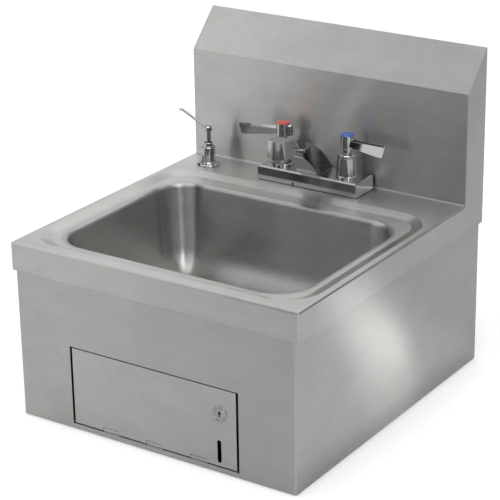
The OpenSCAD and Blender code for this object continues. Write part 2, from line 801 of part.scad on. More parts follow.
module cam_screw() color([0.6, 0.6, 0.6]) on_lock() {
    z = cam_y - apron_y + cam_t;
    translate([0, 0, plug_end_y - apron_y - 7.8])
        cylinder(h = z - plug_end_y + apron_y + 7.8, r = 2 - running);
    difference() {
        translate([0, 0, z]) cylinder(h = 2.6, r = 7.5);
        translate([0, 0, z + 1]) cylinder(h = 2 + past, r = 3, $fn = 6);
    }
}

// Wall bracket

module wall_bracket() color([0.6, 0.6, 0.6]) difference() {
    along_x(-bracket_w / 2, bracket_w / 2) polygon([
        [0, bracket_z0], [0, bracket_z1], [lip_y0 + bracket_t, bracket_z1],
        [lip_y0 + bracket_t, bracket_drop - 14], [lip_y0, bracket_drop - 14],
        [lip_y0, bracket_z1 - bracket_t], [-bracket_t, bracket_z1 - bracket_t], [-bracket_t, bracket_z0]]);
    for (x = [-1, 1], z = [-1, 1]) translate([x * bolt_dx / 2, past, z * bolt_dz / 2])
        rotate([90, 0, 0]) cylinder(h = bracket_t + 2 * past, r = bolt_r);
}

// Faucet

// Places its children on the line of the valves, at deck height
module on_faucet() {
    translate([0, faucet_y, deck_z]) children();
}

// Places its children on a valve: side -1 is hot, 1 is cold
module on_valve(side) {
    translate([side * valve_x, faucet_y, deck_z]) children();
}

// Cast base, drawn in at its top
module faucet_base() {
    hw = base_w / 2;
    hl = base_l / 2;
    intersection() {
        round_plate(-hw, hw, -hl, hl, 4, gasket_t, base_h - gasket_t);
        along_y(-hl, hl) polygon([[-hw, 0], [hw, 0], [hw - base_lean, base_h - 2],
            [hw - base_lean - 2, base_h], [-hw + base_lean + 2, base_h], [-hw + base_lean, base_h - 2]]);
        along_x(-hw, hw) polygon([[-hl, 0], [hl, 0], [hl, base_h - 2], [hl - 1.5, base_h],
            [-hl + base_lean + 2, base_h], [-hl + base_lean, base_h - 2]]);
    }
}

// Centre of the circle of radius r that passes p and q, left of the way from p to q
function arc_centre(p, q, r) =
    let (v = q - p, l = norm(v))
    (p + q) / 2 + sqrt(r * r - l * l / 4) * [-v[1], v[0]] / l;

// Side outline of the spout, forwards to the left: one long crown from the heel to
// the nose, with a flatter arch cut under it
module spout_side() {
    difference() {
        intersection() {
            translate(arc_centre(heel, nose, crown_r)) circle(crown_r, $fn = 256);
            translate([-spout_reach - 2 * past, base_top - 4])
                square([spout_reach + heel[0] + 2 * past, nose_top]);
        }
        intersection() {
            translate(arc_centre(arch_foot, arch_end, arch_r)) circle(arch_r, $fn = 256);
            translate([-2 * spout_reach, 0]) square([3 * spout_reach, nose_bottom]);
        }
        translate([-2 * spout_reach, 0]) square([2 * spout_reach + arch_foot[0], arch_foot[1]]);
    }
}

// Plan of the spout: sides that spread towards the heel. It runs past the nose.
module spout_plan() {
    w = spout_w / 2;
    h = spout_foot_w;
    corner = 6;
    front = -spout_reach - past;
    polygon([[-w, front], [w, front], [h, arch_foot[0]], [h, heel[0] - corner],
        [-h, heel[0] - corner], [-h, arch_foot[0]]]);
    translate([corner - h, 0]) square([2 * (h - corner), heel[0]]);
    for (x = [-1, 1]) translate([x * (h - corner), heel[0] - corner]) circle(corner);
}

// All that lies in front of the nose's bowed face, in plan
module spout_bow() {
    w = spout_w / 2;
    sag = 6.5;
    bow_r = (w * w + sag * sag) / (2 * sag);
    difference() {
        translate([-spout_w, -spout_reach - 2 * past]) square([2 * spout_w, sag + 1 + 2 * past]);
        translate([0, bow_r - spout_reach]) circle(bow_r, $fn = 128);
    }
}

module faucet_spout() {
    h = spout_foot_w - 0.1;
    w = spout_w / 2 - 1.8;
    difference() {
        intersection() {
            along_x(-base_w / 4, base_w / 4) spout_side();
            translate([0, 0, base_top - 4]) linear_extrude(height = nose_top) spout_plan();
            // Front: sides that lean in on their way up, a little inside the plan's own sides
            along_y(-spout_reach - 3 * past, base_l) polygon([[-h, base_top - 6], [h, base_top - 6],
                [w, nose_top - 0.6], [w - 1, nose_top + 0.6], [1 - w, nose_top + 0.6],
                [-w, nose_top - 0.6]]);
        }
        translate([0, 0, base_top - 4]) linear_extrude(height = nose_top + past) spout_bow();
    }
}

module faucet_body() color([0.78, 0.79, 0.8]) on_faucet() difference() {
    union() {
        faucet_base();
        faucet_spout();
    }
    // The casting is open underneath, apart from a boss round each shank
    difference() {
        round_plate(5 - base_w / 2, base_w / 2 - 5, 5 - base_l / 2, base_l / 2 - 5, 2, 0, base_h - 6);
        for (s = [-1, 1]) translate([s * valve_x, 0, 0]) cylinder(h = base_h, r = shank_r + 4);
        block([-2, -base_l, 0], [2, base_l, base_h]);
    }
    for (s = [-1, 1]) translate([s * valve_x, 0, -past])
        cylinder(h = base_h + 2 * past, r = shank_in + running);
    // Weep notch
    translate([-weep_x, 0, 0]) block([-weep_w / 2, -base_l / 2 - past, gasket_t - past],
        [weep_w / 2, 6 - base_l / 2, gasket_t + weep_h]);
    translate([0, aerator_y, nose_bottom - past]) cylinder(h = 10 + past, r = aerator_r - 1.5);
}

module faucet_gasket() color([0.15, 0.15, 0.15]) on_faucet() difference() {
    round_plate(-base_w / 2 + 1, base_w / 2 - 1, -base_l / 2 + 1, base_l / 2 - 1, 3, 0, gasket_t);
    for (s = [-1, 1]) translate([s * valve_x, 0, -past]) cylinder(h = gasket_t + 2 * past, r = shank_hole_r);
}

module aerator() color([0.82, 0.82, 0.83]) on_faucet() translate([0, aerator_y, 0]) {
    difference() {
        union() {
            translate([0, 0, nose_bottom - aerator_h]) cylinder(h = aerator_h, r = aerator_r);
            translate([0, 0, nose_bottom - 0.1]) cylinder(h = 9, r = aerator_r - 1.5 - running);
        }
        translate([0, 0, nose_bottom - aerator_h - past]) cylinder(h = 20 + past, r = aerator_r - 3.5);
    }
    // Screen across the outlet
    difference() {
        translate([0, 0, nose_bottom - 4]) cylinder(h = 1, r = aerator_r - 3.4);
        for (i = [-2:2], j = [-2:2])
            if (i * i + j * j < 6)
                translate([i * 2.6, j * 2.6, nose_bottom - 4 - past]) cylinder(h = 1 + 2 * past, r = 0.9);
    }
}

module supply_shanks() color([0.72, 0.6, 0.36]) for (s = [-1, 1]) on_valve(s) {
    tube(shank_r, shank_bore, -shank_l, shank_step);
    tube(shank_in, shank_bore, shank_step - share, base_h);
}

module shank_washers() color([0.7, 0.7, 0.7]) for (s = [-1, 1]) on_valve(s)
    tube(shank_nut_r, shank_in + seat, -sheet_t - washer_t, -sheet_t);

module shank_nuts() color([0.72, 0.6, 0.36]) for (s = [-1, 1]) on_valve(s)
    hex_nut(shank_nut_r, shank_in + seat, shank_step + 0.5, -sheet_t - washer_t);

// Bell over a valve, with its packing neck
module bonnet() {
    b = base_top;
    r = bonnet_r;
    difference() {
        rotate_extrude() polygon([[0, b], [r, b], [r, b + 2.5], [r - 0.8, b + 3.5], [r - 1.1, b + 8],
            [r - 2.6, bonnet_top - 5], [r - 2, bonnet_top - 3.4], [r - 2, bonnet_top - 1],
            [r - 3, bonnet_top], [stem_r + 2, bonnet_top], [stem_r + 2, neck_top - 0.6],
            [stem_r + 1.4, neck_top], [0, neck_top]]);
        translate([0, 0, b - past]) cylinder(h = neck_top - b + 2 * past, r = stem_r + running);
        // Shallow flats round the skirt
        for (i = [0:11]) rotate([0, 0, i * 30]) translate([r - 0.9, -2.6, b + 4]) rotate([0, -3, 0])
            cube([4, 5.2, bonnet_h - 12]);
    }
}

module hot_bonnet() color([0.8, 0.8, 0.81]) on_valve(-1) bonnet();

module cold_bonnet() color([0.8, 0.8, 0.81]) on_valve(1) bonnet();

// Spindle that the handle turns
module stem() {
    difference() {
        union() {
            translate([0, 0, stem_foot]) cylinder(h = stem_top - stem_foot, r = stem_r);
            translate([0, 0, stem_foot + 1 - stem_disc_h])
                cylinder(h = stem_disc_h, r = shank_bore - running);
        }
        translate([0, 0, stem_top - 14]) cylinder(h = 14 + past, r = screw_r);
    }
}

module hot_stem() color([0.72, 0.6, 0.36]) on_valve(-1) stem();

module cold_stem() color([0.72, 0.6, 0.36]) on_valve(1) stem();

// Blade of a lever along +X with its ridge at z = 0: deeper and thinner to the tip
module lever_blade() {
    x0 = hub_r - 2;
    h = lever_tip_h;
    w = lever_t / 2;
    intersection() {
        along_y(-w, w) polygon([[x0, 0], [lever_l - 1.5, 0], [lever_l, -1.5], [lever_l - 2.2, 1.5 - h],
            [lever_l - 4, -h], [lever_l - 14, 0.6 - h], [x0, -lever_root_h]]);
        translate([0, 0, -h]) linear_extrude(height = h)
            polygon([[x0, -w], [lever_l, -0.62 * w], [lever_l, 0.62 * w], [x0, w]]);
        along_x(x0, lever_l) polygon([[-w, -h], [w, -h], [w, -w], [0.6, 0], [-0.6, 0], [-w, -w]]);
    }
}

// Lever handle along +X: hub and a leaning blade
module handle() {
    web = stem_top + 2;
    difference() {
        union() {
            translate([0, 0, hub_z0]) cylinder(h = hub_h, r = hub_r);
            children();
            translate([0, 0, hub_z1 - 4]) rotate([-lever_cant, 0, 0]) lever_blade();
        }
        translate([0, 0, hub_z0 - past]) cylinder(h = stem_top - hub_z0 + past, r = stem_r + running);
        translate([0, 0, hub_z0]) cylinder(h = hub_h, r = screw_r + seat);
        translate([0, 0, web]) cylinder(h = hub_h, r = 6);
    }
}

// Upright lug on the side of the hub that faces away from the blade
module handle_tail() {
    r = tail_l * 0.9;
    translate([r - hub_r - tail_l, 0, 0]) rotate_extrude() polygon([[0, hub_z0 + 0.6],
        [r - 1.2, hub_z0 + 0.6], [r, hub_z0 + 1.8], [r, hub_z1 - 3], [r - 1.6, hub_z1 - 1.4],
        [0, hub_z1 - 1.4]]);
}

module hot_handle() color([0.82, 0.83, 0.84]) on_valve(-1) rotate([0, 0, 180 + hot_turn])
    handle() handle_tail();

module cold_handle() color([0.82, 0.83, 0.84]) on_valve(1) rotate([0, 0, -cold_turn]) handle();

module handle_screw() {
    translate([0, 0, stem_top - 12]) cylinder(h = 14, r = screw_r - running);
    difference() {
        translate([0, 0, stem_top + 2]) cylinder(h = 2, r = 4);
        translate([-4, -0.5, stem_top + 3]) cube([8, 1, 2]);
    }
}

module hot_handle_screw() color([0.6, 0.6, 0.6]) on_valve(-1) handle_screw();

module cold_handle_screw() color([0.6, 0.6, 0.6]) on_valve(1) handle_screw();

// Coloured cap pressed into the top of a hub
module index_cap() {
    r = hub_r + 0.4;
    rotate_extrude() polygon([[0, hub_z1 - 2], [6 - seat, hub_z1 - 2], [6 - seat, hub_z1], [r, hub_z1],
        [r, hub_z1 + index_t - 0.7], [r - 0.5, hub_z1 + index_t - 0.2], [r - 2, hub_z1 + index_t],
        [0, hub_z1 + index_t]]);
}

module hot_index() color([0.85, 0.2, 0.16]) on_valve(-1) index_cap();

module cold_index() color([0.12, 0.35, 0.8]) on_valve(1) index_cap();

// Soap pump

// Places its children on the pump's axis, at deck height
module on_pump() {
    translate([-soap_x, soap_cy, deck_z]) children();
}

module soap_post() color([0.8, 0.8, 0.82]) on_pump() difference() {
    rotate_extrude() polygon([[0, 0], [soap_flange_r, 0], [soap_flange_r, 1.6], [soap_flange_r - 1.6, 3.4],
        [soap_post_r + 1.2, 3.8], [soap_post_r, 5], [soap_post_r, soap_post_h - 0.8],
        [soap_post_r - 0.8, soap_post_h], [0, soap_post_h]]);
    translate([0, 0, -past]) cylinder(h = soap_post_h + 2 * past, r = cyl_out_r + seat);
}

module soap_collar() color([0.75, 0.75, 0.77]) on_pump() difference() {
    rotate_extrude() polygon([[0, plug_z0], [cyl_r - seat, plug_z0], [cyl_r - seat, soap_post_h],
        [collar_r + 2, soap_post_h], [collar_r + 2, soap_post_h + 0.8], [collar_r, soap_post_h + 1.4],
        [collar_r, collar_top - 0.8], [collar_r - 0.8, collar_top], [0, collar_top]]);
    translate([0, 0, plug_z0 - past]) cylinder(h = collar_top - plug_z0 + 2 * past, r = plunger_r + running);
}

module soap_shank() color([0.8, 0.8, 0.8]) on_pump() tube(shank_out_r, shank_in_r, -soap_shank_l, 0);

module soap_nut() color([0.75, 0.75, 0.75]) on_pump()
    hex_nut(19, shank_out_r + seat, -sheet_t - 9, -sheet_t);

// Barrel of the pump, with the spring's seat and the valve chamber below it
module pump_cylinder() color([0.9, 0.9, 0.88]) on_pump() difference() {
    union() {
        translate([0, 0, cyl_end + spigot_l])
            cylinder(h = soap_post_h - cyl_end - spigot_l - 0.2, r = cyl_out_r);
        translate([0, 0, cyl_end]) cylinder(h = spigot_l + 1, r = spigot_r);
    }
    translate([0, 0, spring_seat]) cylinder(h = soap_post_h - spring_seat, r = cyl_r);
    translate([0, 0, cyl_end - past]) cylinder(h = spring_seat - cyl_end + 2 * past, r = 1.6);
}

// Helix under the piston: one six-sided tube with flat ends
module pump_spring() color([0.7, 0.7, 0.72]) on_pump() {
    sides = 6;
    steps = spring_turns * 16;
    z0 = spring_seat + spring_wire / 2 + 0.1;
    rise = piston_z0 - spring_seat - spring_wire - 0.2;
    points = [for (k = [0:steps], j = [0:sides - 1])
        let (a = 360 * spring_turns * k / steps, b = 360 * j / sides,
            r = spring_r + spring_wire / 2 * cos(b))
        [r * cos(a), r * sin(a), z0 + rise * k / steps + spring_wire / 2 * sin(b)]];
    faces = concat(
        [[for (j = [0:sides - 1]) j]],
        [for (k = [0:steps - 1], j = [0:sides - 1], h = [0, 1])
            let (m = (j + 1) % sides, p = k * sides, q = (k + 1) * sides)
            h == 0 ? [p + j, q + j, q + m] : [p + j, q + m, p + m]],
        [[for (j = [sides - 1:-1:0]) steps * sides + j]]);
    polyhedron(points, faces);
}

module soap_plunger() color([0.85, 0.85, 0.86]) on_pump() {
    translate([0, 0, piston_z1 - 1]) cylinder(h = head_z0 - piston_z1 + 1, r = plunger_r);
    translate([0, 0, piston_z0]) cylinder(h = piston_h, r = cyl_r - running);
}

// Round cap and thin nozzle, with the tip turned down
module soap_head() color([0.82, 0.82, 0.84]) on_pump() {
    rotate_extrude() polygon([[0, head_z0], [head_r - 1, head_z0], [head_r, head_z0 + 1],
        [head_r, head_z0 + head_h - 1.6], [head_r - 1.6, head_z0 + head_h], [0, head_z0 + head_h]]);
    root = [0, 0, head_z0 + 3.4];
    len = nozzle_l / cos(nozzle_rise);
    translate(root) rotate([0, -90 + nozzle_rise, 0]) cylinder(h = len - 5, r = nozzle_r);
    translate(root) rotate([0, nozzle_rise, 0]) translate([-len + 5, 0, 0]) {
        sphere(nozzle_r);
        rotate([0, -90 - nozzle_rise, 0]) cylinder(h = 5, r = nozzle_r);
    }
}

module soap_bottle() color([0.93, 0.93, 0.9]) on_pump() {
    t = bottle_t;
    r = bottle_r;
    neck = shank_out_r + seat;
    z = -bottle_drop;
    rotate_extrude() polygon(concat(
        [[0, z], [r - 4, z]],
        arc(r - 4, z + 4, 4, -80, 0, 4),
        arc(r - 12, -soap_shank_l - 20, 12, 0, 80, 5),
        [[neck + t, -soap_shank_l - 4], [neck + t, bottle_neck_top], [neck, bottle_neck_top],
         [neck, -soap_shank_l - 4 - t]],
        arc(r - 12, -soap_shank_l - 20, 12 - t, 80, 0, 5),
        [[r - t, z + t + 2], [r - t - 2, z + t], [0, z + t]]));
}

module dip_tube() color([0.9, 0.9, 0.9]) on_pump()
    tube(spigot_r + 1, spigot_r + seat / 2, -bottle_drop + bottle_t + 4, cyl_end + spigot_l - 0.4);

// Drain

// Places its children on the bowl's drain, at deck height
module on_drain() {
    translate([0, bowl_cy, deck_z]) children();
}

module drain_body() color([0.75, 0.75, 0.76]) on_drain() {
    f = drain_floor;
    r = drain_flange_r;
    b = drain_body_r;
    rotate_extrude() polygon([[b - 2, f + 1], [b - 0.6, f + 2], [r - 1, f + 1.4], [r, f + 0.6], [r, f],
        [b, f], [b, drain_foot + drain_collar + 4], [tailpiece_r + 2, drain_foot + drain_collar],
        [tailpiece_r + 2, drain_foot],
        [tail_in + seat, drain_foot], [tail_in + seat, tailpiece_top + 0.2],
        [tailpiece_r - 1, tailpiece_top + 0.2], [tailpiece_r - 1, drain_foot + 18],
        [b - 2, drain_foot + 22]]);
}

module drain_gasket() color([0.12, 0.12, 0.12]) on_drain()
    tube(drain_flange_r - 2, drain_body_r + seat, drain_floor - sheet_t - drain_gasket_t,
        drain_floor - sheet_t);

module drain_nut() color([0.72, 0.6, 0.36]) on_drain()
    hex_nut(drain_nut_r, drain_body_r + seat, drain_floor - sheet_t - drain_gasket_t - drain_nut_h,
        drain_floor - sheet_t - drain_gasket_t);

// Lift-out strainer: a perforated cup with a rim and a knob
module drain_strainer() color([0.7, 0.7, 0.7]) on_drain() {
    r = drain_body_r - 2.6;
    z = drain_floor - strainer_depth;
    difference() {
        union() {
            rotate_extrude() polygon([[0, z], [r - 4, z], [r - 1, z + 3], [r, drain_floor + 0.6],
                [drain_body_r - 0.2, drain_floor + 1.4 + 0.9], [drain_body_r - 0.2, drain_floor + 3.2],
                [r - 1.2, drain_floor + 1.6], [r - 2.2, z + 3.6], [r - 4.6, z + 1], [0, z + 1]]);
            translate([0, 0, z]) cylinder(h = strainer_post, r = 2.4);
            translate([0, 0, z + strainer_post]) cylinder(h = 3.5, r = 5);
        }
        for (ring = [[8.5, 8], [14, 14]], i = [0:ring[1] - 1])
            rotate([0, 0, 360 * i / ring[1]]) translate([ring[0], 0, z - past])
                cylinder(h = 1 + 2 * past, r = 1.5);
    }
}

module tailpiece() color([0.72, 0.73, 0.74]) on_drain() {
    tube(tailpiece_r, tailpiece_r - tailpiece_t, -tailpiece_drop, tail_step);
    tube(tail_in, tailpiece_r - tailpiece_t, tail_step - share, tailpiece_top);
}

module slip_nut() color([0.7, 0.7, 0.72]) on_drain() difference() {
    h = slip_lip + drain_collar - 0.2;
    translate([0, 0, tail_step + 0.5]) cylinder(h = h, r = tailpiece_r + 7, $fn = 12);
    translate([0, 0, drain_foot - 0.2]) cylinder(h = h + past, r = tailpiece_r + 2 + seat);
    translate([0, 0, tail_step - past]) cylinder(h = h + 2 * past, r = tail_in + seat);
}

basin_top();
splash_end_left();
splash_end_right();
bowl();
apron();
towel_box();
towel_door();
door_hinge_leaf();
door_hinge_pin();
lock_barrel();
lock_nut();
lock_plug();
lock_cam();
cam_screw();
wall_bracket();
faucet_body();
faucet_gasket();
aerator();
supply_shanks();
shank_washers();
shank_nuts();
hot_bonnet();
cold_bonnet();
hot_stem();
cold_stem();
hot_handle();
cold_handle();
hot_handle_screw();
cold_handle_screw();
hot_index();
cold_index();
soap_post();
soap_collar();
soap_shank();
soap_nut();
pump_cylinder();
pump_spring();
soap_plunger();
soap_head();
soap_bottle();
dip_tube();
drain_body();
drain_gasket();
drain_nut();
drain_strainer();
tailpiece();
slip_nut();
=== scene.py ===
import logging
import math
from dataclasses import dataclass
from enum import Enum
from typing import ClassVar, Iterable, Sequence

import bmesh
import bpy
from mathutils import Matrix, Vector


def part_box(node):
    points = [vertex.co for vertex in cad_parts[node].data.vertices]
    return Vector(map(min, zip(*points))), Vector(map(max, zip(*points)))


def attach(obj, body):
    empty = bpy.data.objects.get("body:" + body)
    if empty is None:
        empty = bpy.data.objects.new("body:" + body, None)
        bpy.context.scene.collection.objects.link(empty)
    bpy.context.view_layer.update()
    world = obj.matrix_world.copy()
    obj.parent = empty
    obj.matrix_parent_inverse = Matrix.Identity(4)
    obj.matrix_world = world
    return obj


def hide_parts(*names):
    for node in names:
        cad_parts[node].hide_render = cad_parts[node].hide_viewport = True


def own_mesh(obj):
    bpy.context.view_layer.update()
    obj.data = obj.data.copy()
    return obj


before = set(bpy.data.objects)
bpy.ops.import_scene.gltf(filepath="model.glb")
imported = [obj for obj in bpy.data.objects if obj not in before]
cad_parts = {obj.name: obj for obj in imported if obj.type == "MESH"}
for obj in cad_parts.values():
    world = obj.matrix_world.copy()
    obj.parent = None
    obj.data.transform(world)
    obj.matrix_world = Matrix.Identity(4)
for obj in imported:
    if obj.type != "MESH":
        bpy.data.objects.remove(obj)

log = logging.getLogger("hand_sink")
Span = tuple[float, float]
Triple = tuple[float, float, float]
Socket = bpy.types.NodeSocket
Value = Socket | float | tuple[float, ...]
Shape = bmesh.types.BMesh
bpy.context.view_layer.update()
MM = 0.001
ORIGIN = (0.0, 0.0, 0.0)
UP = (0.0, 0.0, 1.0)
# Quarter turns that stand a flat shape up, facing the front or the back
TO_FRONT = Matrix.Rotation(math.pi / 2, 3, "X")
TO_BACK = Matrix.Rotation(-math.pi / 2, 3, "X")
# Octaves of a rich noise and the weight of its finer ones
RICH = (4.0, 0.6)
# Range that a noise's middle values fill
MIDDLE = (0.3, 0.7)


def stand(name: str, data: bpy.types.ID) -> bpy.types.Object:
    """Adds an object to the scene.

    Args:
        name: The object's name.
        data: The mesh, lamp or camera that it shows.

    Returns:
        The object.
    """
    thing = bpy.data.objects.new(name, data)
    bpy.context.scene.collection.objects.link(thing)
    return thing


def sheet(name: str, size: Span, place: Matrix) -> bpy.types.Object:
    """Adds a flat sheet to the scene, in metres.

    Args:
        name: The sheet's name.
        size: Its width and depth.
        place: Its place and turn.

    Returns:
        The sheet.
    """
    bm = bmesh.new()
    bmesh.ops.create_grid(bm, x_segments=1, y_segments=1, size=0.5)
    bmesh.ops.scale(bm, vec=(*size, 1.0), verts=bm.verts)
    bmesh.ops.transform(bm, matrix=place, verts=bm.verts)
    mesh = bpy.data.meshes.new(name)
    bm.to_mesh(mesh)
    bm.free()
    return stand(name, mesh)


def shades(colour: Triple, factors: Span) -> tuple[Value, Value]:
    """Returns a darker and a lighter shade of the colour, by two factors."""
    return tuple((*(min(1.0, c * by) for c in colour), 1.0) for by in factors)


class Mix(Enum):
    """What a mix node mixes, where its sockets repeat their names for each type of value.

    Each member holds the type's name and the numbers of the sockets for both values and the result.
    """

    VALUES = ("FLOAT", 2, 3, 0)
    COLOURS = ("RGBA", 6, 7, 2)


class Wires:
    """Builds the node tree of a material or of the world."""

    BEVEL_SAMPLES: ClassVar[int] = 4

    def __init__(self, owner: bpy.types.Material | bpy.types.World) -> None:
        """Starts a tree that holds only its coordinates.

        Args:
            owner: The material or the world.
        """
        owner.use_nodes = True
        self.owner = owner
        self.tree = owner.node_tree
        self.tree.nodes.clear()
        self.coordinates = self.add("ShaderNodeTexCoord").outputs

    def add(self, kind: str, inputs: dict[str | int, Value] | None = None,
            **settings: object) -> bpy.types.Node:
        """Adds a node.

        Args:
            kind: The node's type name.
            inputs: What each of its sockets gets, which is linked where it is itself a socket.
            settings: Properties set on the node.

        Returns:
            The new node.
        """
        node = self.tree.nodes.new(kind)
        for key, value in settings.items():
            setattr(node, key, value)
        for key, value in (inputs or {}).items():
            if isinstance(value, Socket):
                self.tree.links.new(value, node.inputs[key])
            else:
                node.inputs[key].default_value = value
        return node

    def noise(self, scale: Triple, detail: float, roughness: float = 0.5) -> Socket:
        """Adds a noise that is stretched by its scale.

        Args:
            scale: Repeats per metre along X, Y and Z.
            detail: Octaves of the noise.
            roughness: Weight of its finer octaves.

        Returns:
            The noise's value, about 0.5 on average.
        """
        mapping = self.add("ShaderNodeMapping", {"Vector": self.coordinates["Object"], "Scale": scale})
        noise = self.add("ShaderNodeTexNoise", {"Vector": mapping.outputs["Vector"], "Scale": 1.0,
                                                "Detail": detail, "Roughness": roughness})
        return noise.outputs["Fac"]

    def span(self, value: Socket, source: Span, target: Span) -> Socket:
        """Maps a value from one range to another.

        Args:
            value: The value to map.
            source: Start and end of the range it comes from.
            target: Start and end of the range it goes to.

        Returns:
            The mapped value.
        """
        sockets = ("Value", "From Min", "From Max", "To Min", "To Max")
        node = self.add("ShaderNodeMapRange", dict(zip(sockets, (value, *source, *target))))
        return node.outputs["Result"]

    def reckon(self, kind: str, a: Socket, b: Socket | float = 0.0) -> Socket:
        """Returns the result of one step of arithmetic, by the operation's name."""
        return self.add("ShaderNodeMath", {0: a, 1: b}, operation=kind).outputs[0]

    def mix(self, kind: Mix, share: Socket, pair: tuple[Value, Value]) -> Socket:
        """Mixes two values or two colours.

        Args:
            kind: Which of these it mixes.
            share: Share of the second one.
            pair: The two of them.

        Returns:
            The mix.
        """
        data_type, first, second, result = kind.value
        inputs = {0: share, first: pair[0], second: pair[1]}
        return self.add("ShaderNodeMix", inputs, data_type=data_type).outputs[result]

    def softened(self, radius: float) -> Socket:
        """Returns a normal that makes edges look rounded, by a radius in metres."""
        node = self.add("ShaderNodeBevel", {"Radius": radius}, samples=self.BEVEL_SAMPLES)
        return node.outputs["Normal"]

    def bump(self, height: Socket, depth: float, under: Socket | None = None,
             strength: float = 1.0) -> Socket:
        """Raises a pattern from the surface.

        Args:
            height: The pattern.
            depth: Its depth, in metres.
            under: The normal it stands on, where that isn't the mesh's own.
            strength: Share of the depth that shows.

        Returns:
            The new normal.
        """
        inputs = {"Strength": strength, "Distance": depth, "Height": height}
        if under is not None:
            inputs["Normal"] = under
        return self.add("ShaderNodeBump", inputs).outputs["Normal"]

    def show(self, shader: Socket, out: str = "ShaderNodeOutputMaterial") -> bpy.types.ID:
        """Puts a shader on the output and returns the tree's owner."""
        self.add(out, {"Surface": shader})
        return self.owner

    def surface(self, inputs: dict[str, Value]) -> bpy.types.Material:
        """Covers the material with the usual surface shader and returns it."""
        return self.show(self.add("ShaderNodeBsdfPrincipled", inputs).outputs["BSDF"])


@dataclass(frozen=True)
class BrushedSteel:
    """Stainless sheet with a brushed grain that runs level.

    Attributes:
        name: The material's name.
        colour: Base colour.
        roughness: Mean roughness.
        stretch: How far highlights are drawn out across the grain.
        depth: Depth of the grain, in metres.
        wave: Depth of the sheet's slow waves, in metres.
        draw: Depth of the upright marks that pressing leaves, in metres.
        edge: Radius of the softened edges, in metres.
    """

    # Repeats per metre of each pattern
    GRAIN_ON_WALL: ClassVar[Triple] = (70.0, 70.0, 900.0)
    GRAIN_ON_LEVEL: ClassVar[Triple] = (70.0, 900.0, 70.0)
    STAINS: ClassVar[Triple] = (16.0, 16.0, 34.0)
    WAVES: ClassVar[Triple] = (9.0, 9.0, 5.0)
    MARKS: ClassVar[Triple] = (90.0, 90.0, 4.0)
    # Upright share of a face's normal, from a wall to a level face
    LEVEL: ClassVar[Span] = (0.55, 0.8)
    # How the grain's lines and the stains change tone and roughness
    LINES: ClassVar[Span] = (0.25, 0.75)
    TONES: ClassVar[tuple[Span, Span]] = ((0.0, 0.6), (0.0, 0.4))
    ROUGHS: ClassVar[tuple[Span, Span]] = ((-0.05, 0.05), (-0.015, 0.015))
    SHADES: ClassVar[Span] = (0.85, 1.14)
    GRAIN_STRENGTH: ClassVar[float] = 0.6
    # Highlights spread across the grain: up a wall, and from front to back on a level sheet
    ACROSS: ClassVar[Triple] = (0.0, 0.06, 1.0)

    name: str
    colour: Triple = (0.52, 0.512, 0.50)
    roughness: float = 0.35
    stretch: float = 0.92
    depth: float = 0.000008
    wave: float = 0.00012
    draw: float = 0.0
    edge: float = 0.0007

    def material(self) -> bpy.types.Material:
        """Makes the material, with grain, slow waves, stains and soft edges.

        Returns:
            The material.
        """
        w = Wires(bpy.data.materials.new(self.name))
        split = w.add("ShaderNodeSeparateXYZ", {"Vector": w.coordinates["Normal"]})
        level = w.span(w.reckon("ABSOLUTE", split.outputs["Z"]), self.LEVEL, (0.0, 1.0))
        grain = (w.noise(self.GRAIN_ON_WALL, *RICH), w.noise(self.GRAIN_ON_LEVEL, *RICH))
        lines = w.mix(Mix.VALUES, level, grain)
        stains = w.noise(self.STAINS, *RICH)
        tone, rough = (w.reckon("ADD", w.span(lines, self.LINES, fine), w.span(stains, MIDDLE, broad))
                       for fine, broad in (self.TONES, self.ROUGHS))
        waves = w.bump(w.noise(self.WAVES, 1.0), self.wave, w.softened(self.edge))
        marks = w.bump(w.noise(self.MARKS, 2.0), self.draw, waves)
        across = w.add("ShaderNodeVectorTransform", {"Vector": self.ACROSS}, vector_type="VECTOR",
                       convert_from="OBJECT", convert_to="WORLD")
        return w.surface({"Base Color": w.mix(Mix.COLOURS, tone, shades(self.colour, self.SHADES)),
                          "Metallic": 1.0, "Roughness": w.reckon("ADD", rough, self.roughness),
                          "Anisotropic": self.stretch, "Tangent": across.outputs["Vector"],
                          "Normal": w.bump(lines, self.depth, marks, self.GRAIN_STRENGTH)})


@dataclass(frozen=True)
class Plating:
    """Polished or dull plated metal.

    Attributes:
        name: The material's name.
        colour: Base colour.
        roughness: Mean roughness.
        smear: How much wiping marks change the roughness.
        ripple: Depth of the casting's slow ripples, in metres.
        edge: Radius of the softened edges, in metres.
    """

    # Repeats per metre of each pattern
    MARKS: ClassVar[Triple] = (60.0, 60.0, 140.0)
    RIPPLES: ClassVar[Triple] = (110.0, 110.0, 110.0)
    # How the wiping marks change tone and roughness
    SHADES: ClassVar[Span] = (0.94, 1.04)
    WIPED: ClassVar[Span] = (0.35, 0.75)
    POLISHED: ClassVar[float] = 0.4

    name: str
    colour: Triple = (0.50, 0.505, 0.51)
    roughness: float = 0.07
    smear: float = 0.05
    ripple: float = 0.00005
    edge: float = 0.0005

    def material(self) -> bpy.types.Material:
        """Makes the material, with wiping marks, ripples and soft edges.

        Returns:
            The material.
        """
        w = Wires(bpy.data.materials.new(self.name))
        marks = w.noise(self.MARKS, *RICH)
        rough = (self.roughness - self.POLISHED * self.smear, self.roughness + self.smear)
        ripples = w.bump(w.noise(self.RIPPLES, 2.0), self.ripple, w.softened(self.edge))
        return w.surface({"Base Color": w.mix(Mix.COLOURS, marks, shades(self.colour, self.SHADES)),
                          "Metallic": 1.0, "Roughness": w.span(marks, self.WIPED, rough), "Normal": ripples})


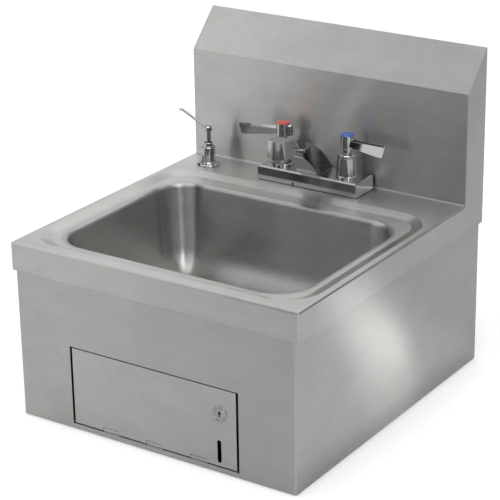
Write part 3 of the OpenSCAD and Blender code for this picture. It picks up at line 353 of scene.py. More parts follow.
@dataclass(frozen=True)
class Moulded:
    """Moulded plastic or rubber.

    Attributes:
        name: The material's name.
        colour: Base colour.
        roughness: Mean roughness.
        pebble: Depth of the mould's texture, in metres.
        pebbles: Repeats of that texture per metre.
        through: Weight of the light that passes under the surface.
        coat: Weight of a clear gloss.
    """

    # Repeats per metre of the uneven colour, and how it changes tone and roughness
    UNEVEN: ClassVar[Triple] = (45.0, 45.0, 45.0)
    SHADES: ClassVar[Span] = (0.88, 1.10)
    ROUGHS: ClassVar[Span] = (-0.05, 0.06)
    # How far red, green and blue light pass under the surface, in metres
    PASSES: ClassVar[Triple] = (0.006, 0.005, 0.004)
    COAT_ROUGHNESS: ClassVar[float] = 0.08

    name: str
    colour: Triple
    roughness: float = 0.4
    pebble: float = 0.00002
    pebbles: float = 900.0
    through: float = 0.0
    coat: float = 0.0

    def material(self) -> bpy.types.Material:
        """Makes the material, with the mould's texture and uneven colour.

        Returns:
            The material.
        """
        w = Wires(bpy.data.materials.new(self.name))
        uneven = w.noise(self.UNEVEN, 3.0)
        rough = tuple(self.roughness + change for change in self.ROUGHS)
        return w.surface({"Base Color": w.mix(Mix.COLOURS, uneven, shades(self.colour, self.SHADES)),
                          "Roughness": w.span(uneven, MIDDLE, rough), "Subsurface Weight": self.through,
                          "Subsurface Radius": self.PASSES, "Coat Weight": self.coat,
                          "Coat Roughness": self.COAT_ROUGHNESS,
                          "Normal": w.bump(w.noise((self.pebbles,) * 3, 2.0), self.pebble)})


Finish = BrushedSteel | Plating | Moulded

SHEET = BrushedSteel("sheet_brushed")
# Lit and shaded copies of one sheet: the top is painted lighter and the apron painted darker, a painted
# light-and-shade step under the rim
TOP_SHEET_PAINTED_LIGHT = BrushedSteel("top_brushed_painted_light", colour=(0.55, 0.542, 0.53))
APRON_SHEET_PAINTED_SHADE = BrushedSteel("apron_brushed_painted_shade", colour=(0.50, 0.492, 0.48), wave=0.00016)
DOOR_SHEET = BrushedSteel("door_brushed", colour=(0.53, 0.522, 0.51), wave=0.0001)
BASIN_STEEL = BrushedSteel("bowl_satin", colour=(0.46, 0.455, 0.445), roughness=0.34, stretch=0.93,
                           draw=0.00015, wave=0.0003)
WELD = BrushedSteel("weld_ground", colour=(0.46, 0.45, 0.43), roughness=0.42, stretch=0.2, depth=0.00001,
                    wave=0.0002, edge=0.0003)
CHROME = Plating("chrome_polished")
LOCK_FACE = Plating("lock_face", colour=(0.42, 0.42, 0.42), roughness=0.16, smear=0.10)
ZINC = Plating("zinc_dull", colour=(0.60, 0.61, 0.62), roughness=0.36, smear=0.12, ripple=0.0001)
BRASS = Plating("brass_turned", colour=(0.71, 0.57, 0.33), roughness=0.26, smear=0.10)
SPRING = Plating("spring_wire", colour=(0.52, 0.52, 0.53), roughness=0.24, smear=0.08)
RUBBER = Moulded("rubber_black", (0.022, 0.022, 0.023), roughness=0.62, pebble=0.00006)
# Near-black: paints the shade inside the keyhole's mouth
KEYHOLE_PAINTED_SHADE = Moulded("painted_shade_keyhole", (0.010, 0.010, 0.010), roughness=0.7)
CAP_RED = Moulded("cap_red", (0.62, 0.060, 0.050), roughness=0.22, coat=0.6, through=0.1)
CAP_BLUE = Moulded("cap_blue", (0.030, 0.13, 0.52), roughness=0.22, coat=0.6, through=0.1)
PUMP_WHITE = Moulded("pump_moulded", (0.80, 0.80, 0.78), roughness=0.38, through=0.15)
BOTTLE_MILKY = Moulded("bottle_blown", (0.82, 0.82, 0.78), roughness=0.42, through=0.35, pebbles=260.0)


class Paints:
    """Makes each finish once, hands it out and counts the pieces that are dressed."""

    def __init__(self) -> None:
        """Starts with no material made and no piece dressed."""
        self.made: dict[str, bpy.types.Material] = {}
        self.pieces = 0

    def of(self, finish: Finish) -> bpy.types.Material:
        """Finds the finish's material, which is made on its first use.

        Args:
            finish: The finish.

        Returns:
            The material.
        """
        if finish.name not in self.made:
            self.made[finish.name] = finish.material()
        return self.made[finish.name]

    def dress(self, finish: Finish, nodes: Iterable[str]) -> None:
        """Puts a finish on the solids' own nodes.

        Args:
            finish: The finish.
            nodes: Names of the nodes.
        """
        for name in nodes:
            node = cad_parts[name]
            node.data.materials.clear()
            node.data.materials.append(self.of(finish))
            self.pieces += 1


class Bench:
    """Finishes new pieces: millimetres to metres, normals, shading, finish and body.

    Args:
        paints: The finishes.
        body: The body that the bench's pieces ride on.
    """

    # Vertices closer than this become one, in millimetres
    MERGE: ClassVar[float] = 0.002

    def __init__(self, paints: Paints, body: str) -> None:
        """Keeps the finishes and the body."""
        self.paints = paints
        self.body = body

    def piece(self, bm: Shape, name: str, finish: Finish,
              crease: float = 35.0) -> bpy.types.Object:
        """Makes a piece of a shape drawn in millimetres.

        Args:
            bm: The shape, which is freed.
            name: The piece's name.
            finish: Its finish.
            crease: Angle above which an edge stays sharp, in degrees.

        Returns:
            The piece.
        """
        bmesh.ops.remove_doubles(bm, verts=bm.verts, dist=self.MERGE)
        bmesh.ops.recalc_face_normals(bm, faces=bm.faces)
        for face in bm.faces:
            face.smooth = True
        for edge in bm.edges:
            edge.smooth = edge.is_manifold and edge.calc_face_angle(0.0) < math.radians(crease)
        bmesh.ops.scale(bm, vec=(MM, MM, MM), verts=bm.verts)
        mesh = bpy.data.meshes.new(name)
        bm.to_mesh(mesh)
        bm.free()
        thing = stand(name, mesh)
        mesh.materials.append(self.paints.of(finish))
        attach(thing, self.body)
        self.paints.pieces += 1
        log.info("%s: %d faces on %s", name, len(mesh.polygons), self.body)
        return thing


@dataclass(frozen=True)
class Thread:
    """A cut thread that stands on a shank. Sizes are in millimetres.

    Attributes:
        foot: Start of the thread on the shank's axis.
        radius: Radius of the shank.
        length: Length of the threaded part.
        pitch: Distance from one crest to the next.
        depth: Height of the crest over the shank.
        along_y: Whether the shank lies along Y, where it otherwise stands along Z.
    """

    # Half the width of the ridge's root and crest, as shares of the pitch
    ROOT: ClassVar[float] = 0.40
    CREST: ClassVar[float] = 0.08
    # Depth of the root in the shank, and steps in a turn
    SUNK: ClassVar[float] = 0.25
    STEPS: ClassVar[int] = 28

    foot: Triple
    radius: float
    length: float
    pitch: float = 1.8
    depth: float = 0.45
    along_y: bool = False

    def cut(self, bm: Shape) -> None:
        """Adds the thread: one ridge, spun up its shank and closed at both ends.

        Args:
            bm: The shape that it is added to.
        """
        root = self.ROOT * self.pitch
        crest = self.CREST * self.pitch
        profile = ((-self.SUNK, -root), (self.depth, -crest), (self.depth, crest), (-self.SUNK, root))
        ridge = [bm.verts.new((self.radius + out, 0.0, up)) for out, up in profile]
        loop = [bm.edges.new((a, b)) for a, b in zip(ridge, ridge[1:] + ridge[:1])]
        turns = (self.length - 2 * root) / self.pitch
        count = round(self.STEPS * turns)
        before = set(bm.verts) - set(ridge)
        bmesh.ops.spin(bm, geom=ridge + loop, cent=ORIGIN, axis=UP, dvec=(0.0, 0.0, self.pitch / self.STEPS),
                       angle=math.tau * count / self.STEPS, steps=count)
        added = [v for v in bm.verts if v not in before]
        bmesh.ops.holes_fill(bm, edges=[e for e in bm.edges if e.is_boundary], sides=len(profile))
        bmesh.ops.translate(bm, vec=(0.0, 0.0, root), verts=added)
        if self.along_y:
            bmesh.ops.rotate(bm, cent=ORIGIN, matrix=TO_BACK, verts=added)
        bmesh.ops.translate(bm, vec=self.foot, verts=added)


@dataclass(frozen=True)
class Hoop:
    """A round bead that runs round an upright axis. Sizes are in millimetres.

    Attributes:
        centre: Middle of the hoop.
        radius: Radius of its ring.
        bead: Radius of its section.
        squash: Height of the section as a share of its width.
    """

    SECTION_STEPS: ClassVar[int] = 12
    RING_STEPS: ClassVar[int] = 64

    centre: Triple
    radius: float
    bead: float
    squash: float = 1.0

    def turn(self, bm: Shape) -> None:
        """Adds the hoop: a small circle, spun once round.

        Args:
            bm: The shape that it is added to.
        """
        before = set(bm.verts)
        bmesh.ops.create_circle(bm, segments=self.SECTION_STEPS, radius=self.bead)
        section = [v for v in bm.verts if v not in before]
        bmesh.ops.scale(bm, vec=(1.0, self.squash, 1.0), verts=section)
        bmesh.ops.rotate(bm, cent=ORIGIN, matrix=TO_FRONT, verts=section)
        bmesh.ops.translate(bm, vec=(self.radius, 0.0, 0.0), verts=section)
        edges = list({e for v in section for e in v.link_edges})
        bmesh.ops.spin(bm, geom=section + edges, cent=ORIGIN, axis=UP, angle=math.tau, steps=self.RING_STEPS,
                       use_merge=True)
        bmesh.ops.translate(bm, vec=self.centre, verts=[v for v in bm.verts if v not in before])


@dataclass(frozen=True)
class Stitch:
    """A short fillet weld with its ripples. Sizes are in millimetres.

    Attributes:
        start: Where the weld starts.
        end: Where it ends.
        size: Half its width.
    """

    # Distance from one ripple to the next and a ripple's length, as shares of the weld's size
    SPACING: ClassVar[float] = 0.8
    FLATNESS: ClassVar[float] = 0.7

    start: Triple
    end: Triple
    size: float = 1.5

    def lay(self, bm: Shape) -> None:
        """Adds the weld: ripples that overlap from its start to its end.

        Args:
            bm: The shape that it is added to.
        """
        start, end = Vector(self.start), Vector(self.end)
        ripples = max(2, round((end - start).length / (self.SPACING * self.size)))
        turn = (end - start).to_track_quat("Z", "Y").to_matrix().to_4x4()
        flat = Matrix.Diagonal((1.0, 1.0, self.FLATNESS, 1.0))
        for i in range(ripples + 1):
            place = Matrix.Translation(start.lerp(end, i / ripples)) @ turn
            bmesh.ops.create_icosphere(bm, subdivisions=2, radius=self.size, matrix=place @ flat)


@dataclass
class FoldedBody:
    """Top, splash, ends and apron.

    Attributes:
        ends: The nodes of the splash's ends.
        seam_x: Inner face of the splash's end plates.
        seam_y: Back of the splash's sheet.
        off: Distance of a weld's middle line from both of these faces.
        stitches_z: Middle of each weld up that seam.
        stitch: Length of a weld.
    """

    ends: Sequence[str] = ("splash_end_left", "splash_end_right")
    seam_x: float = 214.8
    seam_y: float = -49.8
    off: float = 0.5
    stitches_z: Sequence[float] = (-140.0, -105.0, -70.0, -35.0)
    stitch: float = 15.0

    def build(self, paints: Paints) -> None:
        """Dresses the folded sheets and welds the splash's ends.

        Args:
            paints: The finishes.
        """
        # The top gets the painted-light copy of the sheet and the apron the painted-shade copy
        paints.dress(TOP_SHEET_PAINTED_LIGHT, ["basin_top"])
        paints.dress(APRON_SHEET_PAINTED_SHADE, ["apron"])
        paints.dress(SHEET, self.ends)
        bench = Bench(paints, "sink")
        y = self.seam_y + self.off
        for side, name in ((-1, "welds_end_left"), (1, "welds_end_right")):
            bm = bmesh.new()
            x = side * (self.seam_x - self.off)
            for z in self.stitches_z:
                Stitch((x, y, z - self.stitch / 2), (x, y, z + self.stitch / 2)).lay(bm)
            bench.piece(bm, name, WELD, crease=60.0)


@dataclass
class DrawnBowl:
    """Bowl with its drain.

    Attributes:
        lip_x: Half the width of the bowl's lip.
        lip_y: Front and back of the lip.
        lip_r: Radius of the lip's corners.
        lip_z: Height of the weld's edges, just under the lip.
        seam: Width of the weld round the lip.
        seam_sag: How far the weld bulges down.
        seam_h: Thickness of the weld.
        seam_cuts: Cuts along the weld that round its section.
        corner_steps: Faces round each of the weld's corners.
        drain: Middle of the drain in plan.
        drain_r: Radius of the drain's body.
        thread_z: Foot of the drain's thread.
    """

    lip_x: float = 186.0
    lip_y: Span = (-429.5, -144.5)
    lip_r: float = 53.5
    lip_z: float = -165.25
    seam: float = 3.2
    seam_sag: float = 0.7
    seam_h: float = 0.5
    seam_cuts: int = 3
    corner_steps: int = 14
    drain: Span = (0.0, -287.0)
    drain_r: float = 24.0
    thread_z: float = -313.6

    def lip_weld(self, bench: Bench) -> None:
        """Lays the dressed weld under the lip: a rounded band, thickened and rounded off.

        Args:
            bench: Finishes the piece.
        """
        bm = bmesh.new()
        bmesh.ops.create_grid(bm, x_segments=1, y_segments=1, size=1.0)
        half = (self.lip_y[1] - self.lip_y[0]) / 2 + self.seam / 2
        bmesh.ops.scale(bm, vec=(self.lip_x + self.seam / 2, half, 1.0), verts=bm.verts)
        bmesh.ops.bevel(bm, geom=list(bm.verts), offset=self.lip_r, offset_type="OFFSET", affect="VERTICES",
                        segments=self.corner_steps, profile=0.5, material=-1)
        whole = list(bm.faces)
        bmesh.ops.inset_region(bm, faces=whole, thickness=self.seam, use_boundary=True,
                               use_even_offset=True)
        bmesh.ops.delete(bm, geom=whole, context="FACES_ONLY")
        across = [e for e in bm.edges if not e.is_boundary]
        bmesh.ops.subdivide_edges(bm, edges=across, cuts=self.seam_cuts)
        for v in bm.verts:
            if not v.is_boundary:
                v.co.z = -self.seam_sag
        bmesh.ops.solidify(bm, geom=list(bm.faces), thickness=self.seam_h)
        bmesh.ops.translate(bm, vec=(0.0, sum(self.lip_y) / 2, self.lip_z), verts=bm.verts)
        bench.piece(bm, "weld_bowl_lip", WELD, crease=70.0)

    def build(self, paints: Paints) -> None:
        """Dresses the bowl and its drain, and adds their weld and thread.

        Args:
            paints: The finishes.
        """
        paints.dress(BASIN_STEEL, ["bowl", "drain_strainer", "drain_body"])
        paints.dress(CHROME, ["tailpiece", "slip_nut"])
        paints.dress(BRASS, ["drain_nut"])
        paints.dress(RUBBER, ["drain_gasket"])
        bench = Bench(paints, "sink")
        self.lip_weld(bench)
        bm = bmesh.new()
        Thread((*self.drain, self.thread_z), self.drain_r, length=11.0, pitch=2.2, depth=0.6).cut(bm)
        bench.piece(bm, "thread_drain", BASIN_STEEL)


@dataclass
class TowelCompartment:
    """Box, door, hinge and lock.

    Attributes:
        lock: Middle of the lock on the door.
        barrel_r: Radius of the lock's barrel.
        thread_y: Front and back of the barrel's thread.
        flange_x: Middle of the box's flanges.
        flange_y: Back of these flanges.
        spots_z: Height of each spot weld.
        spot_r: Radius of a spot weld at its foot and at its top.
        spot_h: Height of its disc, half of which lies in the flange.
        spot_rim: Width of its rim.
        spot_dish: Depth of its middle.
        face_y: Middle of the rings on the lock's face.
        rings: Radius of each of these rings and of its bead.
        keyhole_y: Front of the keyhole.
        keyhole_r: Radius of its round part.
        keyhole_up: Height of that part's middle over the lock's.
        key_w: Width of its slot.
        key_h: Height of its slot.
        key_down: Depth of the slot's middle under the lock's.
        key_apart: Step between the slot and the round part, which keeps their faces apart.
        key_round: Radius of the slot's corners as a share of its width.
        key_thick: Thickness of the keyhole.
    """

    lock: Span = (101.0, -320.0)
    barrel_r: float = 9.0
    thread_y: Span = (-455.4, -442.2)
    flange_x: float = 145.0
    flange_y: float = -458.6
    spots_z: Sequence[float] = (-300.0, -335.0, -370.0)
    spot_r: Span = (2.6, 2.2)
    spot_h: float = 0.5
    spot_rim: float = 0.6
    spot_dish: float = 0.2
    face_y: float = -461.05
    rings: Sequence[Span] = ((9.9, 0.85), (6.75, 0.6))
    keyhole_y: float = -461.66
    keyhole_r: float = 2.2
    keyhole_up: float = 1.2
    key_w: float = 2.0
    key_h: float = 6.2
    key_down: float = 0.6
    key_apart: float = 0.02
    key_round: float = 0.45
    key_thick: float = 0.2

    def lock_rings(self, bench: Bench) -> None:
        """Turns the domed rings on the lock's face.

        Args:
            bench: Finishes the piece.
        """
        bm = bmesh.new()
        for radius, bead in self.rings:
            Hoop(ORIGIN, radius, bead).turn(bm)
        bmesh.ops.rotate(bm, cent=ORIGIN, matrix=TO_FRONT, verts=bm.verts)
        bmesh.ops.translate(bm, vec=(self.lock[0], self.face_y, self.lock[1]), verts=bm.verts)
        bench.piece(bm, "rings_lock", LOCK_FACE)

    def keyhole(self, bench: Bench) -> None:
        """Lays a black disc and a slot under it, with rounded ends: painted shade in the keyhole's mouth.

        Args:
            bench: Finishes the piece.
        """
        bm = bmesh.new()
        disc = bmesh.ops.create_circle(bm, cap_ends=True, segments=28, radius=self.keyhole_r)["verts"]
        bmesh.ops.translate(bm, vec=(0.0, self.keyhole_up, 0.0), verts=disc)
        slot = bmesh.ops.create_grid(bm, x_segments=1, y_segments=1, size=0.5)["verts"]
        bmesh.ops.scale(bm, vec=(self.key_w, self.key_h, 1.0), verts=slot)
        bmesh.ops.translate(bm, vec=(0.0, -self.key_down, self.key_apart), verts=slot)
        bmesh.ops.bevel(bm, geom=slot, offset=self.key_round * self.key_w, affect="VERTICES", segments=5,
                        profile=0.5, material=-1)
        bmesh.ops.solidify(bm, geom=list(bm.faces), thickness=self.key_thick)
        bmesh.ops.rotate(bm, cent=ORIGIN, matrix=TO_FRONT, verts=bm.verts)
        bmesh.ops.translate(bm, vec=(self.lock[0], self.keyhole_y, self.lock[1]), verts=bm.verts)
        bench.piece(bm, "painted_shade_keyhole_lock", KEYHOLE_PAINTED_SHADE)

    def spot_welds(self, bench: Bench) -> None:
        """Adds the spot welds behind the box's flanges: low discs with a dished middle.

        Args:
            bench: Finishes the piece.
        """
        bm = bmesh.new()
        foot_r, top_r = self.spot_r
        for side in (-1, 1):
            for z in self.spots_z:
                place = Matrix.Translation((side * self.flange_x, self.flange_y, z)) @ TO_BACK.to_4x4()
                made = bmesh.ops.create_cone(bm, cap_ends=True, segments=24, radius1=foot_r, radius2=top_r,
                                             depth=self.spot_h, matrix=place)["verts"]
                caps = [f for f in bm.faces if len(f.verts) > 4 and all(v in made for v in f.verts)]
                top = [f for f in caps if f.calc_center_median().y > self.flange_y]
                bmesh.ops.inset_region(bm, faces=top, thickness=self.spot_rim)
                middle = list({v for f in top for v in f.verts})
                bmesh.ops.translate(bm, vec=(0.0, -self.spot_dish, 0.0), verts=middle)
        bench.piece(bm, "spot_welds", WELD)

    def build(self, paints: Paints) -> None:
        """Dresses the compartment, and adds its thread, rings, the keyhole's painted shade and welds.

        Args:
            paints: The finishes.
        """
        paints.dress(DOOR_SHEET, ["towel_door"])
        paints.dress(SHEET, ["towel_box", "door_hinge_leaf"])
        paints.dress(ZINC, ["door_hinge_pin", "lock_nut", "lock_cam", "cam_screw"])
        paints.dress(LOCK_FACE, ["lock_barrel", "lock_plug"])
        self.spot_welds(Bench(paints, "sink"))
        bm = bmesh.new()
        front, back = self.thread_y
        Thread((self.lock[0], front, self.lock[1]), self.barrel_r, back - front, pitch=1.3, depth=0.3,
               along_y=True).cut(bm)
        Bench(paints, "door").piece(bm, "thread_lock", CHROME)
        self.lock_rings(Bench(paints, "door"))
        self.keyhole(Bench(paints, "lock"))


@dataclass
class WallHanger:
    """Bracket on the wall."""

    def build(self, paints: Paints) -> None:
        """Dresses the bracket."""
        paints.dress(ZINC, ["wall_bracket"])


@dataclass
class DeckFaucet:
    """Casting, valves and handles.

    Attributes:
        valve_x: Distance of each valve from the middle.
        valve_y: The valves' line.
        shank_r: Radius of a supply shank.
        shank_z: Foot and top of its thread.
        aerator: Middle of the aerator in plan.
        aerator_r: Its radius.
        aerator_z: Foot and top of its knurl.
        flutes: Number of ribs round the knurl.
        flute_h: Height of a rib.
        flute_cuts: Cuts up the knurl that give a rib its ends.
        knurl_h: Thickness of the knurl's wall.
    """

    valve_x: float = 50.8
    valve_y: float = -78.0
    shank_r: float = 10.3
    shank_z: Span = (-218.5, -172.6)
    aerator: Span = (0.0, -168.0)
    aerator_r: float = 9.9
    aerator_z: Span = (-101.0, -97.6)
    flutes: int = 44
    flute_h: float = 0.35
    flute_cuts: int = 4
    knurl_h: float = 0.3

    def knurl(self, bench: Bench) -> None:
        """Adds the knurl round the aerator: a band whose ribs are drawn out from its wall.

        Args:
            bench: Finishes the piece.
        """
        bm = bmesh.new()
        foot, top = self.aerator_z
        rise = top - foot
        ring = bmesh.ops.create_circle(bm, segments=2 * self.flutes, radius=self.aerator_r)["verts"]
        wall = bmesh.ops.extrude_edge_only(bm, edges=list({e for v in ring for e in v.link_edges}))
        upper = [v for v in wall["geom"] if isinstance(v, bmesh.types.BMVert)]
        bmesh.ops.translate(bm, vec=(0.0, 0.0, rise), verts=upper)
        standing = [e for e in bm.edges if abs(e.verts[0].co.z - e.verts[1].co.z) > rise / 2]
        bmesh.ops.subdivide_edges(bm, edges=standing, cuts=self.flute_cuts)
        end = rise / (self.flute_cuts + 1) / 2
        for v in bm.verts:
            spoke = round(math.atan2(v.co.y, v.co.x) / math.tau * 2 * self.flutes)
            if spoke % 2 == 0 and end < v.co.z < rise - end:
                v.co.xy *= 1.0 + self.flute_h / self.aerator_r
        bmesh.ops.solidify(bm, geom=list(bm.faces), thickness=self.knurl_h)
        bmesh.ops.translate(bm, vec=(*self.aerator, foot), verts=bm.verts)
        bench.piece(bm, "knurl_aerator", CHROME, crease=25.0)

    def build(self, paints: Paints) -> None:
        """Dresses the faucet, and adds its threads and knurl.

        Args:
            paints: The finishes.
        """
        bench = Bench(paints, "sink")
        self.knurl(bench)
        foot, top = self.shank_z
        for side, name in ((-1, "thread_hot_shank"), (1, "thread_cold_shank")):
            bm = bmesh.new()
            Thread((side * self.valve_x, self.valve_y, foot), self.shank_r, top - foot).cut(bm)
            bench.piece(bm, name, BRASS)
        paints.dress(CHROME, ["faucet_body", "aerator", "hot_bonnet", "cold_bonnet", "hot_handle",
                              "cold_handle"])
        paints.dress(BRASS, ["supply_shanks", "shank_nuts", "hot_stem", "cold_stem"])
        paints.dress(ZINC, ["shank_washers", "hot_handle_screw", "cold_handle_screw"])
        paints.dress(RUBBER, ["faucet_gasket"])
        paints.dress(CAP_RED, ["hot_index"])
        paints.dress(CAP_BLUE, ["cold_index"])


@dataclass
class SoapPump:
    """Pump on the deck with its bottle below.

    Attributes:
        axis: The pump's place in plan.
        shank_r: Radius of the shank.
        shank_z: Foot and top of its thread.
        bottle_r: Radius of the bottle.
        ribs_z: Height of each rib round the bottle.
        rib: Half the width of a rib.
        rib_sunk: How deep the middle of a rib lies in the bottle.
        rib_squash: Height of a rib's section as a share of its width.
        seal_z: Height of the seal round the plunger.
        seal: Half the thickness of the seal.
        seal_off: Distance of the seal's middle from the plunger.
        plunger_r: Radius of the plunger.
        spring_wire: Thickness of the spring's wire.
        spring_turns: Turns of the spring.
        spring_keep: Share of its length that the spring keeps when the pump is pressed; not used.
        wire_steps: Faces round the wire.
        turn_steps: Steps in a turn of the spring.
    """

    axis: Span = (-170.0, -86.0)
    shank_r: float = 11.5
    shank_z: Span = (-195.4, -171.0)
    bottle_r: float = 30.0
    ribs_z: Sequence[float] = (-250.0, -336.0)
    rib: float = 1.1
    rib_sunk: float = 0.5
    rib_squash: float = 1.6
    seal_z: float = -127.0
    seal: float = 0.45
    seal_off: float = 0.55
    plunger_r: float = 3.7
    spring_wire: float = 0.9
    spring_turns: int = 7
    spring_keep: float = 0.63
    wire_steps: int = 8
    turn_steps: int = 24

    def spring(self, bench: Bench) -> None:
        """Winds a coil spring in the place of the solid one, which it hides.

        Args:
            bench: Finishes the piece.
        """
        low, high = (Vector(corner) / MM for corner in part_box("pump_spring"))
        radius = (high.x - low.x - self.spring_wire) / 2
        rise = high.z - low.z - self.spring_wire
        steps = self.spring_turns * self.turn_steps
        bm = bmesh.new()
        place = Matrix.Translation((radius, 0.0, 0.0)) @ TO_FRONT.to_4x4()
        bmesh.ops.create_circle(bm, cap_ends=False, segments=self.wire_steps, radius=self.spring_wire / 2,
                                matrix=place)
        bmesh.ops.spin(bm, geom=list(bm.verts) + list(bm.edges), cent=ORIGIN, axis=UP,
                       dvec=(0.0, 0.0, rise / steps), angle=math.tau * self.spring_turns, steps=steps)
        bmesh.ops.holes_fill(bm, edges=[e for e in bm.edges if e.is_boundary], sides=self.wire_steps)
        bmesh.ops.translate(bm, vec=(*self.axis, low.z + self.spring_wire / 2), verts=bm.verts)
        coil = bench.piece(bm, "coil_spring", SPRING)
        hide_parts("pump_spring")
        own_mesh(coil)

    def build(self, paints: Paints) -> None:
        """Dresses the pump, and adds its thread, ribs, seal and spring.

        Args:
            paints: The finishes.
        """
        bench = Bench(paints, "sink")
        bm = bmesh.new()
        foot, top = self.shank_z
        Thread((*self.axis, foot), self.shank_r, top - foot, pitch=2.0).cut(bm)
        bench.piece(bm, "thread_soap_shank", ZINC)
        bm = bmesh.new()
        for z in self.ribs_z:
            Hoop((*self.axis, z), self.bottle_r - self.rib_sunk, self.rib, self.rib_squash).turn(bm)
        bench.piece(bm, "ribs_bottle", BOTTLE_MILKY)
        bm = bmesh.new()
        Hoop((*self.axis, self.seal_z), self.plunger_r + self.seal_off, self.seal).turn(bm)
        bench.piece(bm, "seal_plunger", RUBBER)
        paints.dress(CHROME, ["soap_post", "soap_collar", "soap_plunger", "soap_head"])
        paints.dress(ZINC, ["soap_shank", "soap_nut"])
        paints.dress(PUMP_WHITE, ["pump_cylinder", "dip_tube"])
        self.spring(bench)
        paints.dress(BOTTLE_MILKY, ["soap_bottle"])


@dataclass(frozen=True)
class Softbox:
    """One flat lamp.

    Attributes:
        name: The lamp's name.
        place: Where it stands.
        aim: The point it faces.
        size: Its width and height.
        power: Its power in watts.
    """

    name: str
    place: Triple
    aim: Triple
    size: Span
    power: float

    def build(self) -> None:
        """Adds the lamp to the scene."""
        lamp = bpy.data.lights.new(self.name, "AREA")
        lamp.shape = "RECTANGLE"
        lamp.size, lamp.size_y = self.size
        lamp.energy = self.power
        thing = stand(self.name, lamp)
        thing.location = self.place
        thing.rotation_mode = "QUATERNION"
        thing.rotation_quaternion = (Vector(self.aim) - Vector(self.place)).to_track_quat("-Z", "Y")


@dataclass(frozen=True)
class Flat:
    """A plain glowing board beside the stage that only reflections show.

    Attributes:
        name: The board's name.
        place: Its middle.
        aim: The point it faces.
        size: Its width and height.
        level: Its brightness, where 1 is white.
    """

    name: str
    place: Triple
    aim: Triple
    size: Span
    level: float

    def build(self) -> None:
        """Adds the board, out of the camera's sight."""
        turn = (Vector(self.aim) - Vector(self.place)).to_track_quat("Z", "Y").to_matrix().to_4x4()
        board = sheet(self.name, self.size, Matrix.Translation(self.place) @ turn)
        w = Wires(bpy.data.materials.new(self.name + "_paper"))
        glow = w.add("ShaderNodeEmission", {"Strength": self.level})
        board.data.materials.append(w.show(glow.outputs["Emission"]))
        board.visible_camera = False
        board.visible_shadow = False
        board.visible_diffuse = False


class Tone(Enum):
    """Brightness of a screen's board, where 1 is white."""

    DARK = 0.03
    GREY = 0.6
    PALE = 1.0
    BRIGHT = 1.4


@dataclass(frozen=True)
class Screen:
    """One ring of glowing boards round the stage, which stands for a studio's walls in reflections.

    Attributes:
        name: The ring's name.
        low: Elevation of its lower edge, in degrees.
        high: Elevation of its upper edge, in degrees.
        count: How many boards it has.
        lit: Start, end and tone of each lit stretch, in degrees from the right towards the back.
        centre: The point it stands round.
        reach: Its distance from that point.
    """

    name: str
    low: float
    high: float
    count: int
    lit: Sequence[tuple[float, float, Tone]]
    centre: Triple = (0.0, -0.2, -0.1)
    reach: float = 3.0

    def boards(self) -> list[Flat]:
        """Lays out the ring, where a board outside every lit stretch is dark.

        Returns:
            The ring's boards.
        """
        rise = math.radians((self.low + self.high) / 2)
        width = 2 * self.reach * math.cos(rise) * math.tan(math.pi / self.count)
        height = 2 * self.reach * math.tan(math.radians((self.high - self.low) / 2))
        found = []
        for i in range(self.count):
            turn = math.tau * (i + 0.5) / self.count
            around = math.degrees(turn)
            tone = next((shown for start, end, shown in self.lit if start < around < end), Tone.DARK)
            way = Vector((math.cos(turn) * math.cos(rise), math.sin(turn) * math.cos(rise), math.sin(rise)))
            place = Vector(self.centre) + way * self.reach
            found.append(Flat(f"{self.name}_{i}", tuple(place), self.centre, (width, height), tone.value))
        return found


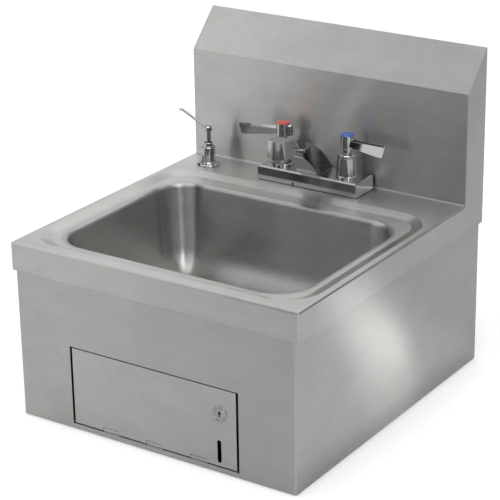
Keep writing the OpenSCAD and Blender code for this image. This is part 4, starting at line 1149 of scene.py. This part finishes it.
@dataclass
class Studio:
    """Floor, world, lamps, boards and camera, in metres.

    Attributes:
        floor_z: Height of the floor.
        floor_reach: Half the width of the floor.
        paper: Darkest and palest tone of the floor.
        patches: Repeats per metre of these tones.
        glow: What the camera sees added to the floor, outside the basin's foot.
        foot_x: Half the width of that foot.
        foot_y: Middle and half the depth of that foot.
        foot_fade: Distance over which the glow sets in.
        world: Level of the world's light.
        eye: Place of the camera.
        ahead: Way that the camera looks.
        right: Way to the right in its picture.
        lens: Focal length, and width of the camera's sensor, in millimetres.
        far: Distance up to which the camera sees.
        lamps: The softboxes.
        screens: The rings of boards that reflections show.
        flats: The boards apart from these rings.
    """

    floor_z: float = -0.4012
    floor_reach: float = 6.0
    paper: Span = (0.80, 0.83)
    patches: Triple = (3.0, 3.0, 3.0)
    glow: float = 0.4
    foot_x: float = 0.19
    foot_y: Span = (-0.23, 0.21)
    foot_fade: float = 0.03
    world: float = 0.70
    eye: Triple = (1.29586, -2.16675, 0.72423)
    ahead: Triple = (-0.51814, 0.77086, -0.37055)
    right: Triple = (0.83312, 0.55289, -0.01476)
    lens: Span = (137.8944, 36.0)
    far: float = 20.0
    lamps: Sequence[Softbox] = (
        Softbox("lamp_left", (-1.9, -1.2, 1.6), (0.0, -0.2, -0.1), (1.8, 1.8), 8.5),
        Softbox("lamp_top", (0.1, -0.5, 2.3), (0.0, -0.3, -0.2), (1.6, 1.2), 12.0),
        Softbox("lamp_front", (0.5, -2.4, 1.6), (0.0, -0.25, -0.2), (1.6, 1.2), 6.0),
    )
    screens: Sequence[Screen] = (
        Screen("screen_low", -4.0, 14.0, 12, ((0, 30, Tone.GREY), (60, 150, Tone.GREY),
                                              (180, 210, Tone.GREY), (210, 240, Tone.PALE),
                                              (270, 300, Tone.GREY))),
        Screen("screen_mid", 14.0, 38.0, 12, ((0, 30, Tone.GREY), (60, 90, Tone.GREY), (90, 150, Tone.PALE),
                                              (210, 240, Tone.GREY), (270, 360, Tone.GREY))),
        Screen("screen_high", 38.0, 62.0, 8, ((45, 180, Tone.BRIGHT), (225, 270, Tone.GREY),
                                              (315, 360, Tone.BRIGHT))),
    )
    flats: Sequence[Flat] = (
        Flat("board_top", (0.0, -0.2, 2.9), (0.0, -0.2, -0.1), (2.6, 2.6), 0.6),
        Flat("board_band", (0.36, -0.04, -0.374), (0.216, -0.26, -0.26), (0.08, 0.04), 4.2),
        Flat("board_ground", (0.62, -0.28, -0.398), (0.62, -0.28, 0.5), (0.76, 0.66), 0.88),
        Flat("board_corner", (1.55, -1.5, 1.2), (0.0, -0.25, -0.2), (0.25, 1.8), 4.5),
    )

    def floor_glow(self, w: Wires) -> Socket:
        """Adds the light that lifts the floor to white for the camera, outside the basin's foot.

        Args:
            w: The tree of the floor's material.

        Returns:
            The glowing shader.
        """
        split = w.add("ShaderNodeSeparateXYZ", {"Vector": w.coordinates["Object"]}).outputs
        middle, half = self.foot_y
        aside = w.reckon("SUBTRACT", w.reckon("ABSOLUTE", split["X"]), self.foot_x)
        along = w.reckon("ABSOLUTE", w.reckon("SUBTRACT", split["Y"], middle))
        outside = w.reckon("MAXIMUM", aside, w.reckon("SUBTRACT", along, half))
        level = w.span(outside, (0.0, self.foot_fade), (0.0, self.glow))
        seen = w.add("ShaderNodeLightPath").outputs["Is Camera Ray"]
        glow = w.add("ShaderNodeEmission", {"Strength": w.reckon("MULTIPLY", seen, level)})
        return glow.outputs["Emission"]

    def floor(self) -> None:
        """Adds the pale floor, which shows white to the camera and keeps the shadow."""
        ground = sheet("floor", (2 * self.floor_reach,) * 2, Matrix.Translation((0.0, 0.0, self.floor_z)))
        w = Wires(bpy.data.materials.new("floor_paper"))
        tone = w.mix(Mix.COLOURS, w.noise(self.patches, 2.0), shades((1.0, 1.0, 1.0), self.paper))
        paper = w.add("ShaderNodeBsdfPrincipled", {"Base Color": tone, "Roughness": 0.9})
        both = w.add("ShaderNodeAddShader", {0: paper.outputs["BSDF"], 1: self.floor_glow(w)})
        ground.data.materials.append(w.show(both.outputs["Shader"]))

    def sky(self) -> None:
        """Sets a plain world that shows white to the camera and in reflections."""
        bpy.context.scene.world = bpy.data.worlds.new("studio")
        w = Wires(bpy.context.scene.world)
        rays = w.add("ShaderNodeLightPath").outputs
        seen = w.reckon("MAXIMUM", rays["Is Camera Ray"], rays["Is Glossy Ray"])
        seen = w.reckon("MAXIMUM", seen, rays["Is Transmission Ray"])
        lit, white = (w.add("ShaderNodeBackground", {"Color": (1.0, 1.0, 1.0, 1.0), "Strength": level})
                      for level in (self.world, 1.0))
        mix = w.add("ShaderNodeMixShader", {0: seen, 1: lit.outputs[0], 2: white.outputs[0]})
        w.show(mix.outputs["Shader"], "ShaderNodeOutputWorld")

    def camera(self) -> None:
        """Adds the camera at the photograph's place."""
        ahead = Vector(self.ahead).normalized()
        right = Vector(self.right)
        right = (right - ahead * right.dot(ahead)).normalized()
        up = right.cross(ahead)
        data = bpy.data.cameras.new("camera")
        data.lens, data.sensor_width = self.lens
        data.clip_end = self.far
        thing = stand("camera", data)
        turn = Matrix((right, up, -ahead)).transposed().to_4x4()
        thing.matrix_world = Matrix.Translation(self.eye) @ turn
        bpy.context.scene.camera = thing

    def build(self) -> int:
        """Adds everything round the object.

        Returns:
            How many lamps and boards there are.
        """
        self.floor()
        self.sky()
        self.camera()
        boards = [board for screen in self.screens for board in screen.boards()]
        for part in (*self.lamps, *boards, *self.flats):
            part.build()
        bpy.context.scene.view_settings.view_transform = "Standard"
        return len(self.lamps) + len(boards) + len(self.flats)


def main() -> None:
    """Builds the pieces in order and reports each."""
    logging.basicConfig(level=logging.INFO, format="%(name)s: %(message)s")
    paints = Paints()
    for part in (FoldedBody(), DrawnBowl(), TowelCompartment(), WallHanger(), DeckFaucet(), SoapPump()):
        before = paints.pieces
        part.build(paints)
        log.info("%s: %d pieces dressed", type(part).__name__, paints.pieces - before)
    log.info("Studio: %d lamps and boards", Studio().build())


if __name__ == "__main__":
    main()
